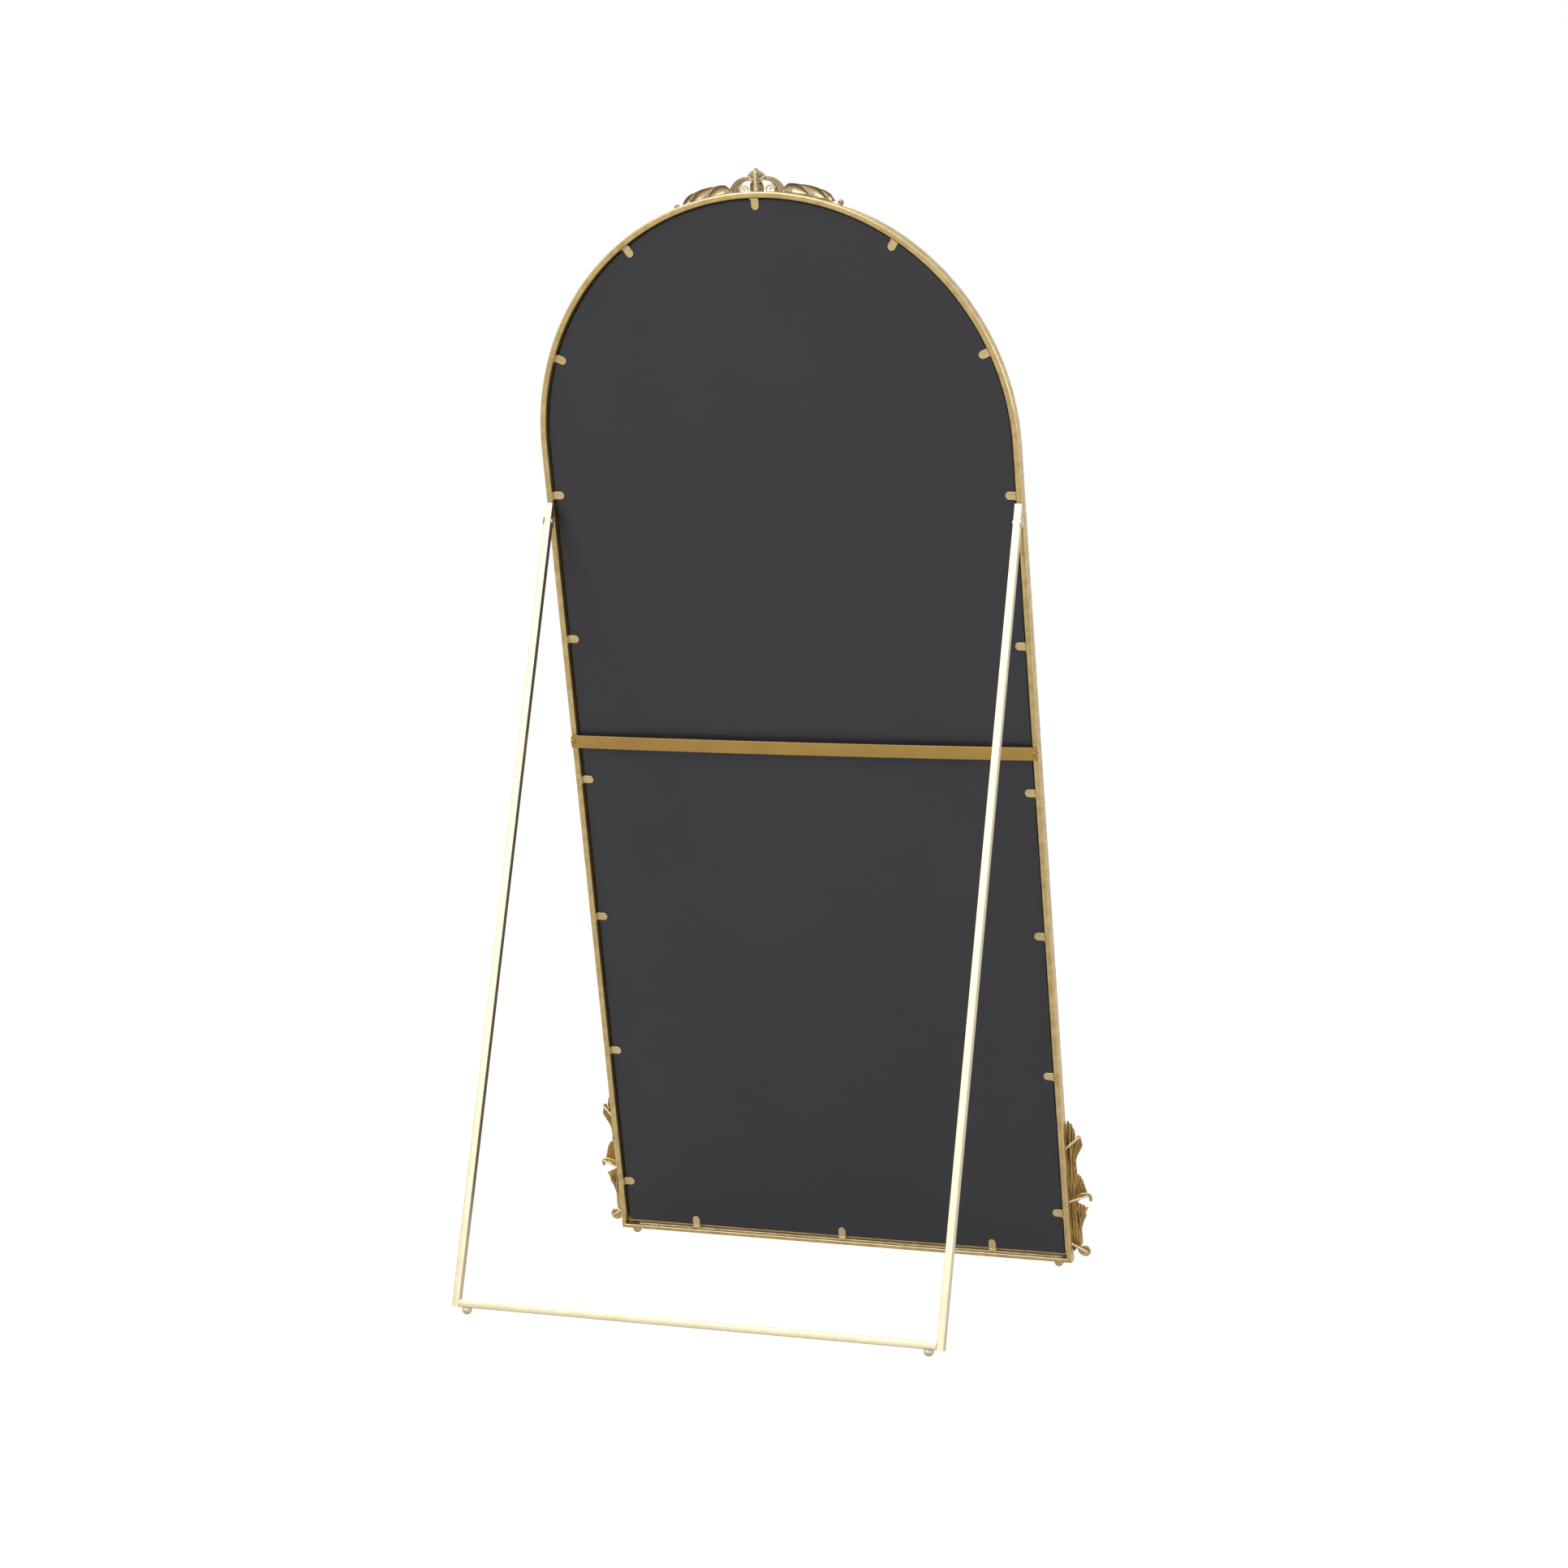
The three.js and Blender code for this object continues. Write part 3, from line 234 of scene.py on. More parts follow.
# %% [markdown]
# ## Aged gilding
#
# The bars and castings are steel and zinc with a sprayed antique gold: a warm metal with darker
# patches where the colour went on thinner, fine olive and brown flecks, and a brown glaze that was
# left in the hollows and rubbed off the ridges. Several materials need that, so it is one node
# group with named inputs. The pattern is in Object coordinates, in metres, which stay put when the
# camera moves. The group gives out only colours and values; each material keeps its own shader.

# %% Build the gilding group
FLECK_SCALE = 620.0                      # flecks to the metre, and grains
GRAIN_SCALE = 1500.0
GILT_ROUGHNESS = 0.3


def new_group(name, kind, inputs, outputs):
    """A node group and its inputs; a socket is given as its name, kind and, for some, default."""
    group = bpy.data.node_groups.new(name, kind)
    for in_out, sockets in (("INPUT", inputs), ("OUTPUT", outputs)):
        for label, kind, *default in sockets:
            socket = group.interface.new_socket(name=label, in_out=in_out, socket_type="NodeSocket" + kind)
            if default:
                socket.default_value = default[0]
    return group, add_node(group, "NodeGroupInput").outputs


def noise(tree, vector, scale, detail=3.0, roughness=0.55):
    return add_node(tree, "ShaderNodeTexNoise", {
        "Vector": vector, "Scale": scale, "Detail": detail, "Roughness": roughness}).outputs["Fac"]


def step_between(tree, value, low, high):
    return add_node(tree, "ShaderNodeMapRange", {
        "Value": value, "From Min": low, "From Max": high}, clamp=True).outputs["Result"]


def mix_colour(tree, share, first, second):
    return add_node(tree, "ShaderNodeMix", {0: share, 6: first, 7: second}, data_type="RGBA").outputs[2]


def build_gilding_group():
    group, given = new_group("aged_gilding", "ShaderNodeTree", [
        ("Gold", "Color", (0.5, 0.39, 0.19, 1)), ("Glaze", "Color", (0.2, 0.12, 0.045, 1)),
        ("Highlight", "Color", (0.78, 0.68, 0.43, 1)), ("Patch Size", "Float", 0.03),
        ("Patch Depth", "Float", 0.25), ("Fleck Depth", "Float", 0.5), ("Hollow", "Float", 0.0),
        ("Ridge", "Float", 0.0)], [("Color", "Color"), ("Roughness", "Float"), ("Height", "Float")])
    place = add_node(group, "ShaderNodeTexCoord").outputs["Object"]
    patch_scale = math_node(group, "DIVIDE", 1.0, given["Patch Size"])
    patches = step_between(group, noise(group, place, patch_scale, 4.0), 0.35, 0.68)
    flecks = step_between(group, noise(group, place, FLECK_SCALE, 2.0, 0.7), 0.52, 0.72)
    grains = noise(group, place, GRAIN_SCALE, 2.0)
    fleck_share = math_node(group, "MULTIPLY", given["Fleck Depth"], math_node(group, "ADD", patches, 0.35))
    darker = math_node(group, "ADD", math_node(group, "MULTIPLY", patches, given["Patch Depth"]),
                       math_node(group, "MULTIPLY", flecks, fleck_share))
    # the hollow input brings glaze from real hollows and also painted shade on bar edges and casting rims
    stained_and_shaded = math_node(group, "MAXIMUM", darker, given["Hollow"], clamp=True)
    glazed_and_shaded = mix_colour(group, stained_and_shaded, given["Gold"], given["Glaze"])
    # the ridge input brings rubbed wear, and on the bars also a painted highlight on the upper edges
    rubbed_and_highlit = math_node(group, "MULTIPLY", given["Ridge"], math_node(group, "ADD", grains, 0.4), clamp=True)
    colour = mix_colour(group, rubbed_and_highlit, glazed_and_shaded, given["Highlight"])
    rough = math_node(group, "ADD", math_node(group, "MULTIPLY", stained_and_shaded, 0.22), GILT_ROUGHNESS)
    rough = math_node(group, "SUBTRACT", rough, math_node(group, "MULTIPLY", rubbed_and_highlit, 0.1))
    height = math_node(group, "SUBTRACT", grains, math_node(group, "MULTIPLY", flecks, 0.6))
    add_node(group, "NodeGroupOutput", {"Color": colour, "Roughness": rough, "Height": height})
    return group


gilding = build_gilding_group()
print("group", gilding.name, "with", len(gilding.nodes), "nodes")

# %% [markdown]
# The bars' rounded edges are lightened as rubbed wear, most on the upper edges as a painted
# highlight, as if lit from above, and the edges that face down get painted shade in the glaze colour.
# A second group finds a rounded edge from the direction of the surface: on a bar whose rear face
# looks along `Rear`, f is 1 on that face, 0 on the sides, and in between only on the edges, where
# 4 f f (1 - f f) peaks.

# %% Build the group for edge wear and painted edge light
def build_edge_wear_and_light_group():
    group, given = new_group("edge_wear_and_light", "ShaderNodeTree", [("Rear", "Vector", (0, 1, 0))],
                             [("Rubbed", "Float"), ("Grimy", "Float")])
    normal = add_node(group, "ShaderNodeNewGeometry").outputs["Normal"]
    facing = add_node(group, "ShaderNodeVectorMath", {0: normal, 1: given["Rear"]}, operation="DOT_PRODUCT")
    square = math_node(group, "MULTIPLY", facing.outputs["Value"], facing.outputs["Value"])
    edge = math_node(group, "MULTIPLY", math_node(group, "MULTIPLY", square, 4.0),
                     math_node(group, "SUBTRACT", 1.0, square), clamp=True)
    upwards = add_node(group, "ShaderNodeSeparateXYZ", {"Vector": normal}).outputs["Z"]
    # upper edges: rubbed wear and a painted highlight; edges that face down: painted shade
    rubbed_and_highlit = math_node(group, "MULTIPLY", edge, step_between(group, upwards, -0.35, 0.3), clamp=True)
    grimy_and_shaded = math_node(group, "MULTIPLY", edge, step_between(group, upwards, -0.3, -0.8), clamp=True)
    grimy_and_shaded = math_node(group, "MULTIPLY", grimy_and_shaded, 0.7)
    add_node(group, "NodeGroupOutput", {"Rubbed": rubbed_and_highlit, "Grimy": grimy_and_shaded})
    return group


edge_wear_and_light = build_edge_wear_and_light_group()
print("group", edge_wear_and_light.name, "with", len(edge_wear_and_light.nodes), "nodes")

# %% [markdown]
# ## The materials
#
# Each metal finish is the gilding group in a Principled shader with its own colours. The castings
# read two values that are worked out on their meshes later, for hollows and for ridges, which say how
# deep a point lies among its neighbours; the hollow value also carries painted shade on thin rims.
# The bars get rubbed wear with a painted highlight and painted shade on their edges instead.
# Numbers that are the same everywhere, such as the metal share, are set on the shader itself.

# %% Build the metal finishes
LACQUER = 0.3                            # the clear coat over the gilding
LACQUER_ROUGHNESS = 0.22
METAL_SHARE = 0.85
GRAIN_DEPTH = 0.00006                    # m


def gilt(name, gold, glaze_and_shade_colour, highlight, patch_size=0.03, patch_depth=0.25, fleck_depth=0.5,
         carved=False, bar_rear=None):
    material = bpy.data.materials.new(name)
    tree = new_tree(material)
    recipe = {"Gold": (*gold, 1), "Glaze": (*glaze_and_shade_colour, 1), "Highlight": (*highlight, 1),
              "Patch Size": patch_size, "Patch Depth": patch_depth, "Fleck Depth": fleck_depth}
    if carved:
        for key in ("Hollow", "Ridge"):
            recipe[key] = add_node(tree, "ShaderNodeAttribute", attribute_name=key.lower()).outputs["Fac"]
    if bar_rear:
        # a bar's edges: rubbed wear with a painted highlight above and painted shade below
        edge_wear_light = add_node(tree, "ShaderNodeGroup", {"Rear": bar_rear}, node_tree=edge_wear_and_light).outputs
        recipe.update(Ridge=edge_wear_light["Rubbed"], Hollow=edge_wear_light["Grimy"])
    finish = add_node(tree, "ShaderNodeGroup", recipe, node_tree=gilding).outputs
    relief = add_node(tree, "ShaderNodeBump", {
        "Height": finish["Height"], "Distance": GRAIN_DEPTH, "Strength": 1.0})
    shader = add_node(tree, "ShaderNodeBsdfPrincipled", {
        "Base Color": finish["Color"], "Roughness": finish["Roughness"],
        "Normal": relief.outputs["Normal"], "Metallic": METAL_SHARE,
        "Coat Weight": LACQUER, "Coat Roughness": LACQUER_ROUGHNESS})
    add_node(tree, "ShaderNodeOutputMaterial", {"Surface": shader.outputs[0]})
    return material


MIRROR_REAR = tuple(mirror_rear)
STAND_REAR = tuple(stand_up.cross(ACROSS))
frame_gold = gilt("frame_gold", (0.555, 0.41, 0.165), (0.24, 0.145, 0.045), (0.72, 0.61, 0.39),
                  patch_size=0.014, patch_depth=0.42, bar_rear=MIRROR_REAR)
# a paler, creamier copy of the frame's antique gold: painted light, standing in for the brighter light on
# the stand's faces
lit_stand_gold = gilt("lit_stand_gold", (0.52, 0.455, 0.315), (0.34, 0.25, 0.11), (0.85, 0.78, 0.58),
                  patch_depth=0.12, bar_rear=STAND_REAR)
casting_gold = gilt("casting_gold", (0.45, 0.29, 0.095), (0.10, 0.048, 0.014), (0.82, 0.68, 0.4),
                    patch_size=0.018, fleck_depth=0.3, carved=True)
# a lighter copy of the corner castings' gold: painted light, standing in for the brighter light on the
# crest's hollows
lit_crest_gold = gilt("lit_crest_gold", (0.54, 0.45, 0.29), (0.09, 0.05, 0.018), (0.9, 0.84, 0.66),
                  patch_size=0.018, patch_depth=0.15, fleck_depth=0.15, carved=True)
clip_gold = gilt("clip_gold", (0.56, 0.42, 0.2), (0.24, 0.15, 0.05), (0.8, 0.7, 0.45), fleck_depth=0.3)
strap_gold = gilt("strap_gold", (0.37, 0.22, 0.05), (0.2, 0.11, 0.03), (0.7, 0.55, 0.28),
                  patch_size=0.05, patch_depth=0.15)
rod_gold = gilt("rod_gold", (0.66, 0.55, 0.33), (0.3, 0.2, 0.08), (0.8, 0.7, 0.45),
                patch_depth=0.2, fleck_depth=0.2)
print("seven metal finishes")

# %% [markdown]
# The glass is a sheet of float glass silvered on its back. From the front it is a mirror with a
# thin clear layer over it, which a clear coat stands for. Its ground edge and the painted back of
# the silver are dark grey. A backing sheet of grey board lies behind it; it is slightly glossy and
# has the faint orange peel of a rolled coat.

# %% Build the glass and backing finishes
CLOUD_SCALE = 6.0                        # slow drifts of tone to the metre
PEEL_SCALE = 420.0                       # dimples of the rolled coat to the metre
BACKING_PEEL = 0.00003                   # their depth, in metres


def plain_finish(name, colour, roughness, metallic=0.0, coat=0.0, specular=0.5, drift=0.06, peel=0.0):
    material = bpy.data.materials.new(name)
    tree = new_tree(material)
    place = add_node(tree, "ShaderNodeTexCoord").outputs["Object"]
    clouds = step_between(tree, noise(tree, place, CLOUD_SCALE), 0.3, 0.7)
    darker, lighter = ((*[min(1, share * channel) for channel in colour], 1)
                       for share in (1 - drift, 1 + drift))
    shade = mix_colour(tree, clouds, darker, lighter)
    grain = noise(tree, place, PEEL_SCALE, 2.0)
    rough = math_node(tree, "ADD", math_node(tree, "MULTIPLY", grain, 0.12 * roughness), 0.94 * roughness)
    shader = add_node(tree, "ShaderNodeBsdfPrincipled", {
        "Base Color": shade, "Roughness": rough, "Metallic": metallic, "Coat Weight": coat,
        "Specular IOR Level": specular})
    if peel:
        bump = add_node(tree, "ShaderNodeBump", {"Height": grain, "Distance": peel, "Strength": 1.0})
        tree.links.new(bump.outputs["Normal"], shader.inputs["Normal"])
    add_node(tree, "ShaderNodeOutputMaterial", {"Surface": shader.outputs[0]})
    return material


silvered_glass = plain_finish("silvered_glass", (0.86, 0.885, 0.88), 0.015, metallic=1.0, coat=0.6,
                              drift=0.008)
glass_edge = plain_finish("glass_edge", (0.05, 0.055, 0.06), 0.35)
backing_paint = plain_finish("backing_paint", (0.022, 0.022, 0.026), 0.4, specular=0.35, peel=BACKING_PEEL)
print("glass, edge and backing finishes")

# %% [markdown]
# ## Helpers for pieces
#
# Every piece is drawn on its bench in millimetres and carried to its place at the end, so its
# object stays at the origin. `finish_piece` gives it its finish, hangs it on the empty of the body
# it moves with, and hides the plain solids it stands for.

# %% Define the piece helpers
def object_from(name, vertices, faces, bench=None):
    mesh = bpy.data.meshes.new(name)
    mesh.from_pydata([tuple(vertex) for vertex in vertices], [], faces)
    if bench:
        mesh.transform(bench)
    mesh.update()
    return new_object(name, mesh)


def plain_copy(source, name, *helpers):
    """The source as its modifiers leave it; the source and its helper objects are removed."""
    graph = bpy.context.evaluated_depsgraph_get()
    mesh = bpy.data.meshes.new_from_object(source.evaluated_get(graph))
    mesh.name = name
    for used in (source, *helpers):
        bpy.data.objects.remove(used, do_unlink=True)
    return new_object(name, mesh)


def face_outwards(mesh):
    work = bmesh.new()
    work.from_mesh(mesh)
    bmesh.ops.remove_doubles(work, verts=work.verts, dist=1e-6)
    bmesh.ops.recalc_face_normals(work, faces=work.faces)
    work.to_mesh(mesh)
    work.free()


def solid_from(name, vertices, faces, bench=None):
    """A closed piece whose faces point outwards."""
    piece = object_from(name, vertices, faces, bench)
    face_outwards(piece.data)
    return piece


def finish_piece(piece, body, slot, nodes, *materials, smooth_below=35):
    if materials:
        piece.data.materials.clear()
        for material in materials:
            piece.data.materials.append(material)
    piece.data.shade_smooth()
    piece.data.set_sharp_from_angle(angle=math.radians(smooth_below))
    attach(piece, body)
    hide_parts(*nodes)
    triangles = sum(len(polygon.vertices) - 2 for polygon in piece.data.polygons)
    print(f"{piece.name}: {triangles} triangles")


# %% [markdown]
# Three ways to make faces come back on many pieces: a profile turned about an axis, a loft through
# rings of points, and a thin shell between two grids of points.

# %% Define turned, lofted and shell shapes
def turned(profile, axis, origin, steps=40):
    """Vertices and faces of a piece turned about an axis; the profile is (radius, height) pairs."""
    up = Vector(axis).normalized()
    side = up.orthogonal().normalized()
    third = up.cross(side)
    vertices, faces, rings = [], [], []
    for radius, height in profile:
        middle = Vector(origin) + up * height
        if radius < 1e-6:
            rings.append([len(vertices)])
            vertices.append(middle)
            continue
        rings.append(list(range(len(vertices), len(vertices) + steps)))
        for step in range(steps):
            angle = 2 * math.pi * step / steps
            vertices.append(middle + (side * math.cos(angle) + third * math.sin(angle)) * radius)
    for low, high in zip(rings, rings[1:]):
        for step in range(steps):
            after = (step + 1) % steps
            corners = (low[step % len(low)], low[after % len(low)],
                       high[after % len(high)], high[step % len(high)])
            faces.append(tuple(dict.fromkeys(corners)))     # only three where it meets the axis
    return vertices, faces


def dome(radius, base, height, steps):
    """Profile points of a dome, from its rim almost to its top."""
    angles = [math.radians(90 * step / steps) for step in range(steps)]
    return [(radius * math.cos(angle), base + height * math.sin(angle)) for angle in angles]


def lofted(rings):
    """Vertices and faces of a closed body through rings of as many points each."""
    count = len(rings[0])
    vertices = [point for ring in rings for point in ring]
    faces = [tuple(range(count)), tuple(range((len(rings) - 1) * count, len(rings) * count))]
    for ring in range(len(rings) - 1):
        for i in range(count):
            after = (i + 1) % count
            faces.append((ring * count + i, ring * count + after,
                          (ring + 1) * count + after, (ring + 1) * count + i))
    return vertices, faces


def shell_faces(rows, columns):
    """Faces of a closed shell between two grids of points, listed one after the other."""
    count = rows * columns
    faces = []
    for layer in (0, count):
        for row in range(rows - 1):
            for column in range(columns - 1):
                corner = layer + row * columns + column
                faces.append((corner, corner + 1, corner + columns + 1, corner + columns))
    last = count - columns
    border = (list(range(columns)) + [row * columns + columns - 1 for row in range(1, rows)]
              + [last + column for column in range(columns - 2, -1, -1)]
              + [row * columns for row in range(rows - 2, 0, -1)])
    return faces + [(here, after, after + count, here + count)
                    for here, after in zip(border, border[1:] + border[:1])]


def arc_points(centre, radius, start, end, steps):
    """(a, b) points of an arc, its ends in degrees included."""
    angles = [math.radians(start + (end - start) * step / steps) for step in range(steps + 1)]
    return [(centre[0] + radius * math.cos(angle), centre[1] + radius * math.sin(angle))
            for angle in angles]


print("turned, lofted and shell shapes ready")

# %% [markdown]
# ## The frame
#
# The frame is one bar with a lip along its front, bent round a half circle and mitred at the
# bottom corners. That is a shape with a rule, a section that follows a path, so Geometry Nodes
# make it: an arc and two lines are joined to one path and the section is swept along it. The same
# tree makes the arch and the bottom rail; only the path differs.

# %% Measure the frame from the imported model
low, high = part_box("frame_bottom_rail")
HALF_WIDTH = (high.x - low.x) / 2 / MM
FRAME_FACE = 9.5
FRAME_DEPTH = 18.0
LIP_REACH = 6.0
LIP_THICKNESS = 2.5
CORNER_RISE = 22.0
STRAIGHT_HEIGHT = 1295.0
EDGE_ROUNDING = 2.4
INNER_WALL = HALF_WIDTH - FRAME_FACE
FRONT = -FRAME_DEPTH
print("half width", round(HALF_WIDTH, 2), "mm")

# %% Build the bar tree
def build_bar_tree():
    tree, given = new_group("bar_along_path", "GeometryNodeTree", [
        ("Path", "Geometry"), ("Section", "Object"), ("Rounding", "Float", EDGE_ROUNDING),
        ("Rounding Steps", "Int", 4), ("Finish", "Material")], [("Bar", "Geometry")])
    path = add_node(tree, "GeometryNodeMeshToCurve", {"Mesh": given["Path"]})
    upright = add_node(tree, "GeometryNodeSetCurveNormal", {"Curve": path.outputs[0]}, mode="Z_UP")
    section = add_node(tree, "GeometryNodeObjectInfo", {"Object": given["Section"]})
    outline = add_node(tree, "GeometryNodeMeshToCurve", {"Mesh": section.outputs["Geometry"]})
    rounded = add_node(tree, "GeometryNodeFilletCurve", {
        "Curve": outline.outputs[0], "Radius": given["Rounding"], "Count": given["Rounding Steps"]},
        mode="POLY")
    swept = add_node(tree, "GeometryNodeCurveToMesh", {
        "Curve": upright.outputs[0], "Profile Curve": rounded.outputs[0], "Fill Caps": True})
    painted = add_node(tree, "GeometryNodeSetMaterial", {
        "Geometry": swept.outputs[0], "Material": given["Finish"]})
    real = add_node(tree, "GeometryNodeRealizeInstances", {"Geometry": painted.outputs[0]})
    add_node(tree, "NodeGroupOutput", {"Bar": real.outputs[0]})
    return tree


def polyline(name, points, closed=False):
    mesh = bpy.data.meshes.new(name)
    edges = [(i, i + 1) for i in range(len(points) - 1)] + ([(len(points) - 1, 0)] if closed else [])
    mesh.from_pydata(points, edges, [])
    return new_object(name, mesh)


def grown(name, source, tree, helper, **inputs):
    """What a node tree makes of a source object and its helper, as a plain mesh."""
    modifier = source.modifiers.new("tree", "NODES")
    modifier.node_group = tree
    for item in tree.interface.items_tree:
        if item.in_out == "INPUT" and item.name in inputs:
            modifier[item.identifier] = inputs[item.name]
    return plain_copy(source, name, helper)


bar_tree = build_bar_tree()
print("bar tree with", len(bar_tree.nodes), "nodes")

# %% Sweep the arch and the bottom rail
ARCH_STEPS = 180
SEAM = 0.3                               # between the arch and the rail's upstands
# the section's first number leads outwards from the outer edge, its second is y on the bench
LIP_EDGE = -FRAME_FACE - LIP_REACH
LIP_REAR = FRONT + LIP_THICKNESS
BAR_SECTION = [(0, 0), (0, FRONT), (LIP_EDGE, FRONT), (LIP_EDGE, LIP_REAR), (-FRAME_FACE, LIP_REAR),
               (-FRAME_FACE, 0)]
arch_path = ([(HALF_WIDTH, CORNER_RISE + SEAM)]
             + arc_points((0, STRAIGHT_HEIGHT), HALF_WIDTH, 0, 180, ARCH_STEPS)
             + [(-HALF_WIDTH, CORNER_RISE + SEAM)])
rail_path = [(-HALF_WIDTH, CORNER_RISE), (-HALF_WIDTH, 0), (HALF_WIDTH, 0), (HALF_WIDTH, CORNER_RISE)]
SWEEP_TO_BENCH = Matrix.Rotation(math.radians(90), 4, "X")   # the path's plane stands up on the bench

for name, path, node in (("arch_bar", arch_path, "frame_arch"),
                         ("bottom_bar", rail_path, "frame_bottom_rail")):
    line = polyline(name + "_path", [(x, z, 0) for x, z in path])
    section = polyline(name + "_section", [(out, y, 0) for out, y in BAR_SECTION], closed=True)
    bar = grown(name, line, bar_tree, section, Section=section, Finish=frame_gold)
    bar.data.transform(MIRROR_BENCH @ SWEEP_TO_BENCH)
    face_outwards(bar.data)
    finish_piece(bar, "mirror", "antique_gold", [node])

# %% [markdown]
# ## The glass and its backing
#
# Both are flat sheets cut to the arch. Each is drawn as a few outlines, one above the other, so
# that the glass gets the narrow ground bevel of a real cut edge. The backing is cut a little
# smaller, so the dark edge of the glass shows as a thin line round it.

# %% Build the glass and the backing
GLASS_THICKNESS = 5.0
GLASS_EDGE_GAP = 2.0
GLASS_GRIND = 0.5
BACKING_THICKNESS = 2.5
BACKING_INSET = 1.2
BACKING_BEVEL = 0.4
SHEET_STEPS = 120
LAY_GAP = 0.3                            # between pieces that lie on each other
GLASS_FRONT = LIP_REAR + LAY_GAP
GLASS_REAR = GLASS_FRONT + GLASS_THICKNESS
BACKING_FRONT = GLASS_REAR + LAY_GAP
BACKING_REAR = BACKING_FRONT + BACKING_THICKNESS


def arched_sheet(name, levels):
    """A sheet through (inset, y) levels, front to rear, with flat ends."""
    rings = []
    for inset, y in levels:
        half = INNER_WALL - inset
        bottom = FRAME_FACE + inset
        outline = [(-half, bottom), (half, bottom)]
        outline += arc_points((0, STRAIGHT_HEIGHT), half, 0, 180, SHEET_STEPS)
        rings.append([(x, y, z) for x, z in outline])
    return solid_from(name, *lofted(rings), MIRROR_BENCH)


glass = arched_sheet("silvered_sheet", [
    (GLASS_EDGE_GAP + GLASS_GRIND, GLASS_FRONT), (GLASS_EDGE_GAP, GLASS_FRONT + GLASS_GRIND),
    (GLASS_EDGE_GAP, GLASS_REAR - GLASS_GRIND), (GLASS_EDGE_GAP + GLASS_GRIND, GLASS_REAR)])
finish_piece(glass, "mirror", "mirror_glass", ["mirror_glass"], silvered_glass, glass_edge, smooth_below=30)
for polygon in glass.data.polygons:      # only the flat front is a mirror
    polygon.material_index = 0 if polygon.normal.dot(mirror_rear) < -0.99 else 1

backing_gap = GLASS_EDGE_GAP + BACKING_INSET
backing = arched_sheet("backing_sheet", [
    (backing_gap, BACKING_FRONT), (backing_gap, BACKING_REAR - BACKING_BEVEL),
    (backing_gap + BACKING_BEVEL, BACKING_REAR)])
finish_piece(backing, "mirror", "rear_backing", ["rear_backing"], backing_paint, smooth_below=30)

# %% [markdown]
# ## Twenty clips
#
# The glass is held by bent strips that are fixed to the inner wall and press on the backing. They
# are all the same stamping, so one is drawn and Geometry Nodes put a copy on every point of a small
# mesh that marks the places. Each point carries the direction in which its clip turns.

# %% Draw one clip
CLIP_WIDTH = 12.0
CLIP_REACH = 17.7
CLIP_THICKNESS = 1.2
CLIP_BEND = 1.8                          # middle of the strip, at its bend
CLIP_FOOT_END = -1.5
CLIP_TIP_START = CLIP_REACH - CLIP_WIDTH / 2
CLIP_RIM = 0.22                          # height of the stamped rim round the tongue
CLIP_RIM_WIDTH, CLIP_RIM_SLOPE = 1.1, 0.5
CLIP_RIM_START = 3.5                     # inwards from the wall, past the bend
CLIP_EDGE_DROP, CLIP_EDGE_WIDTH = 0.35, 0.45


def clip_path():
    """The strip's middle line, (inwards, y, normal inwards, normal y), from its foot to its tip."""
    level = BACKING_REAR + LAY_GAP + CLIP_THICKNESS / 2
    wall = CLIP_THICKNESS / 2
    centre = (wall + CLIP_BEND, level + CLIP_BEND)
    foot = [(wall, CLIP_FOOT_END + (centre[1] - CLIP_FOOT_END) * step / 3, 1, 0) for step in range(3)]
    bend = [(a, b, (centre[0] - a) / CLIP_BEND, (centre[1] - b) / CLIP_BEND)
            for a, b in arc_points(centre, CLIP_BEND, 180, 270, 6)]
    straight = [(centre[0] + (CLIP_TIP_START - centre[0]) * step / 5, level, 0, 1) for step in range(1, 6)]
    tip = [(CLIP_TIP_START + CLIP_WIDTH / 2 * math.sin(math.radians(angle)), level, 0, 1)
           for angle in (12, 24, 36, 48, 58, 67, 75, 82, 87, 90)]
    return foot + bend + straight + tip


def clip_shape():
    """The stamping: x leads inwards from the wall, and its width is along z."""
    across = [-1, -0.97, -0.9, -0.8, -0.7, -0.35, 0, 0.35, 0.7, 0.8, 0.9, 0.97, 1]
    rear, front = [], []
    for inwards, y, normal_in, normal_y in clip_path():
        past = max(0.0, inwards - CLIP_TIP_START) / (CLIP_WIDTH / 2)
        half = CLIP_WIDTH / 2 * math.sqrt(max(1 - past ** 2, 0.0004))
        for share in across:
            side = share * half
            to_edge = CLIP_WIDTH / 2 - (math.hypot(past * CLIP_WIDTH / 2, side) if past else abs(side))
            round_off = CLIP_EDGE_DROP * max(0.0, 1 - to_edge / CLIP_EDGE_WIDTH) ** 2
            inside_rim = min(1.0, max(0.0, (to_edge - CLIP_RIM_WIDTH) / CLIP_RIM_SLOPE))
            sunk = CLIP_RIM * inside_rim if inwards > CLIP_RIM_START else 0.0
            for layer, offset in ((rear, CLIP_THICKNESS / 2 - round_off - sunk),
                                  (front, -CLIP_THICKNESS / 2 + round_off)):
                layer.append((inwards + normal_in * offset, y + normal_y * offset, side))
    return solid_from("clip_stamping", rear + front, shell_faces(len(rear) // len(across), len(across)))


stamping = clip_shape()
print("one clip", len(stamping.data.polygons), "faces")

# %% Mark the clips' places and build the tree that fills them
SIDE_CLIP_FIRST = 81.0
SIDE_CLIP_PITCH = 228.0
SIDE_CLIP_COUNT = 6
ARCH_CLIP_ANGLES = (22, 55, 90, 125, 158)
BOTTOM_CLIP_PITCH = 251.0
FOOT_GAP = 0.3                           # between the clip's foot and the wall
wall_for_clips = INNER_WALL - FOOT_GAP

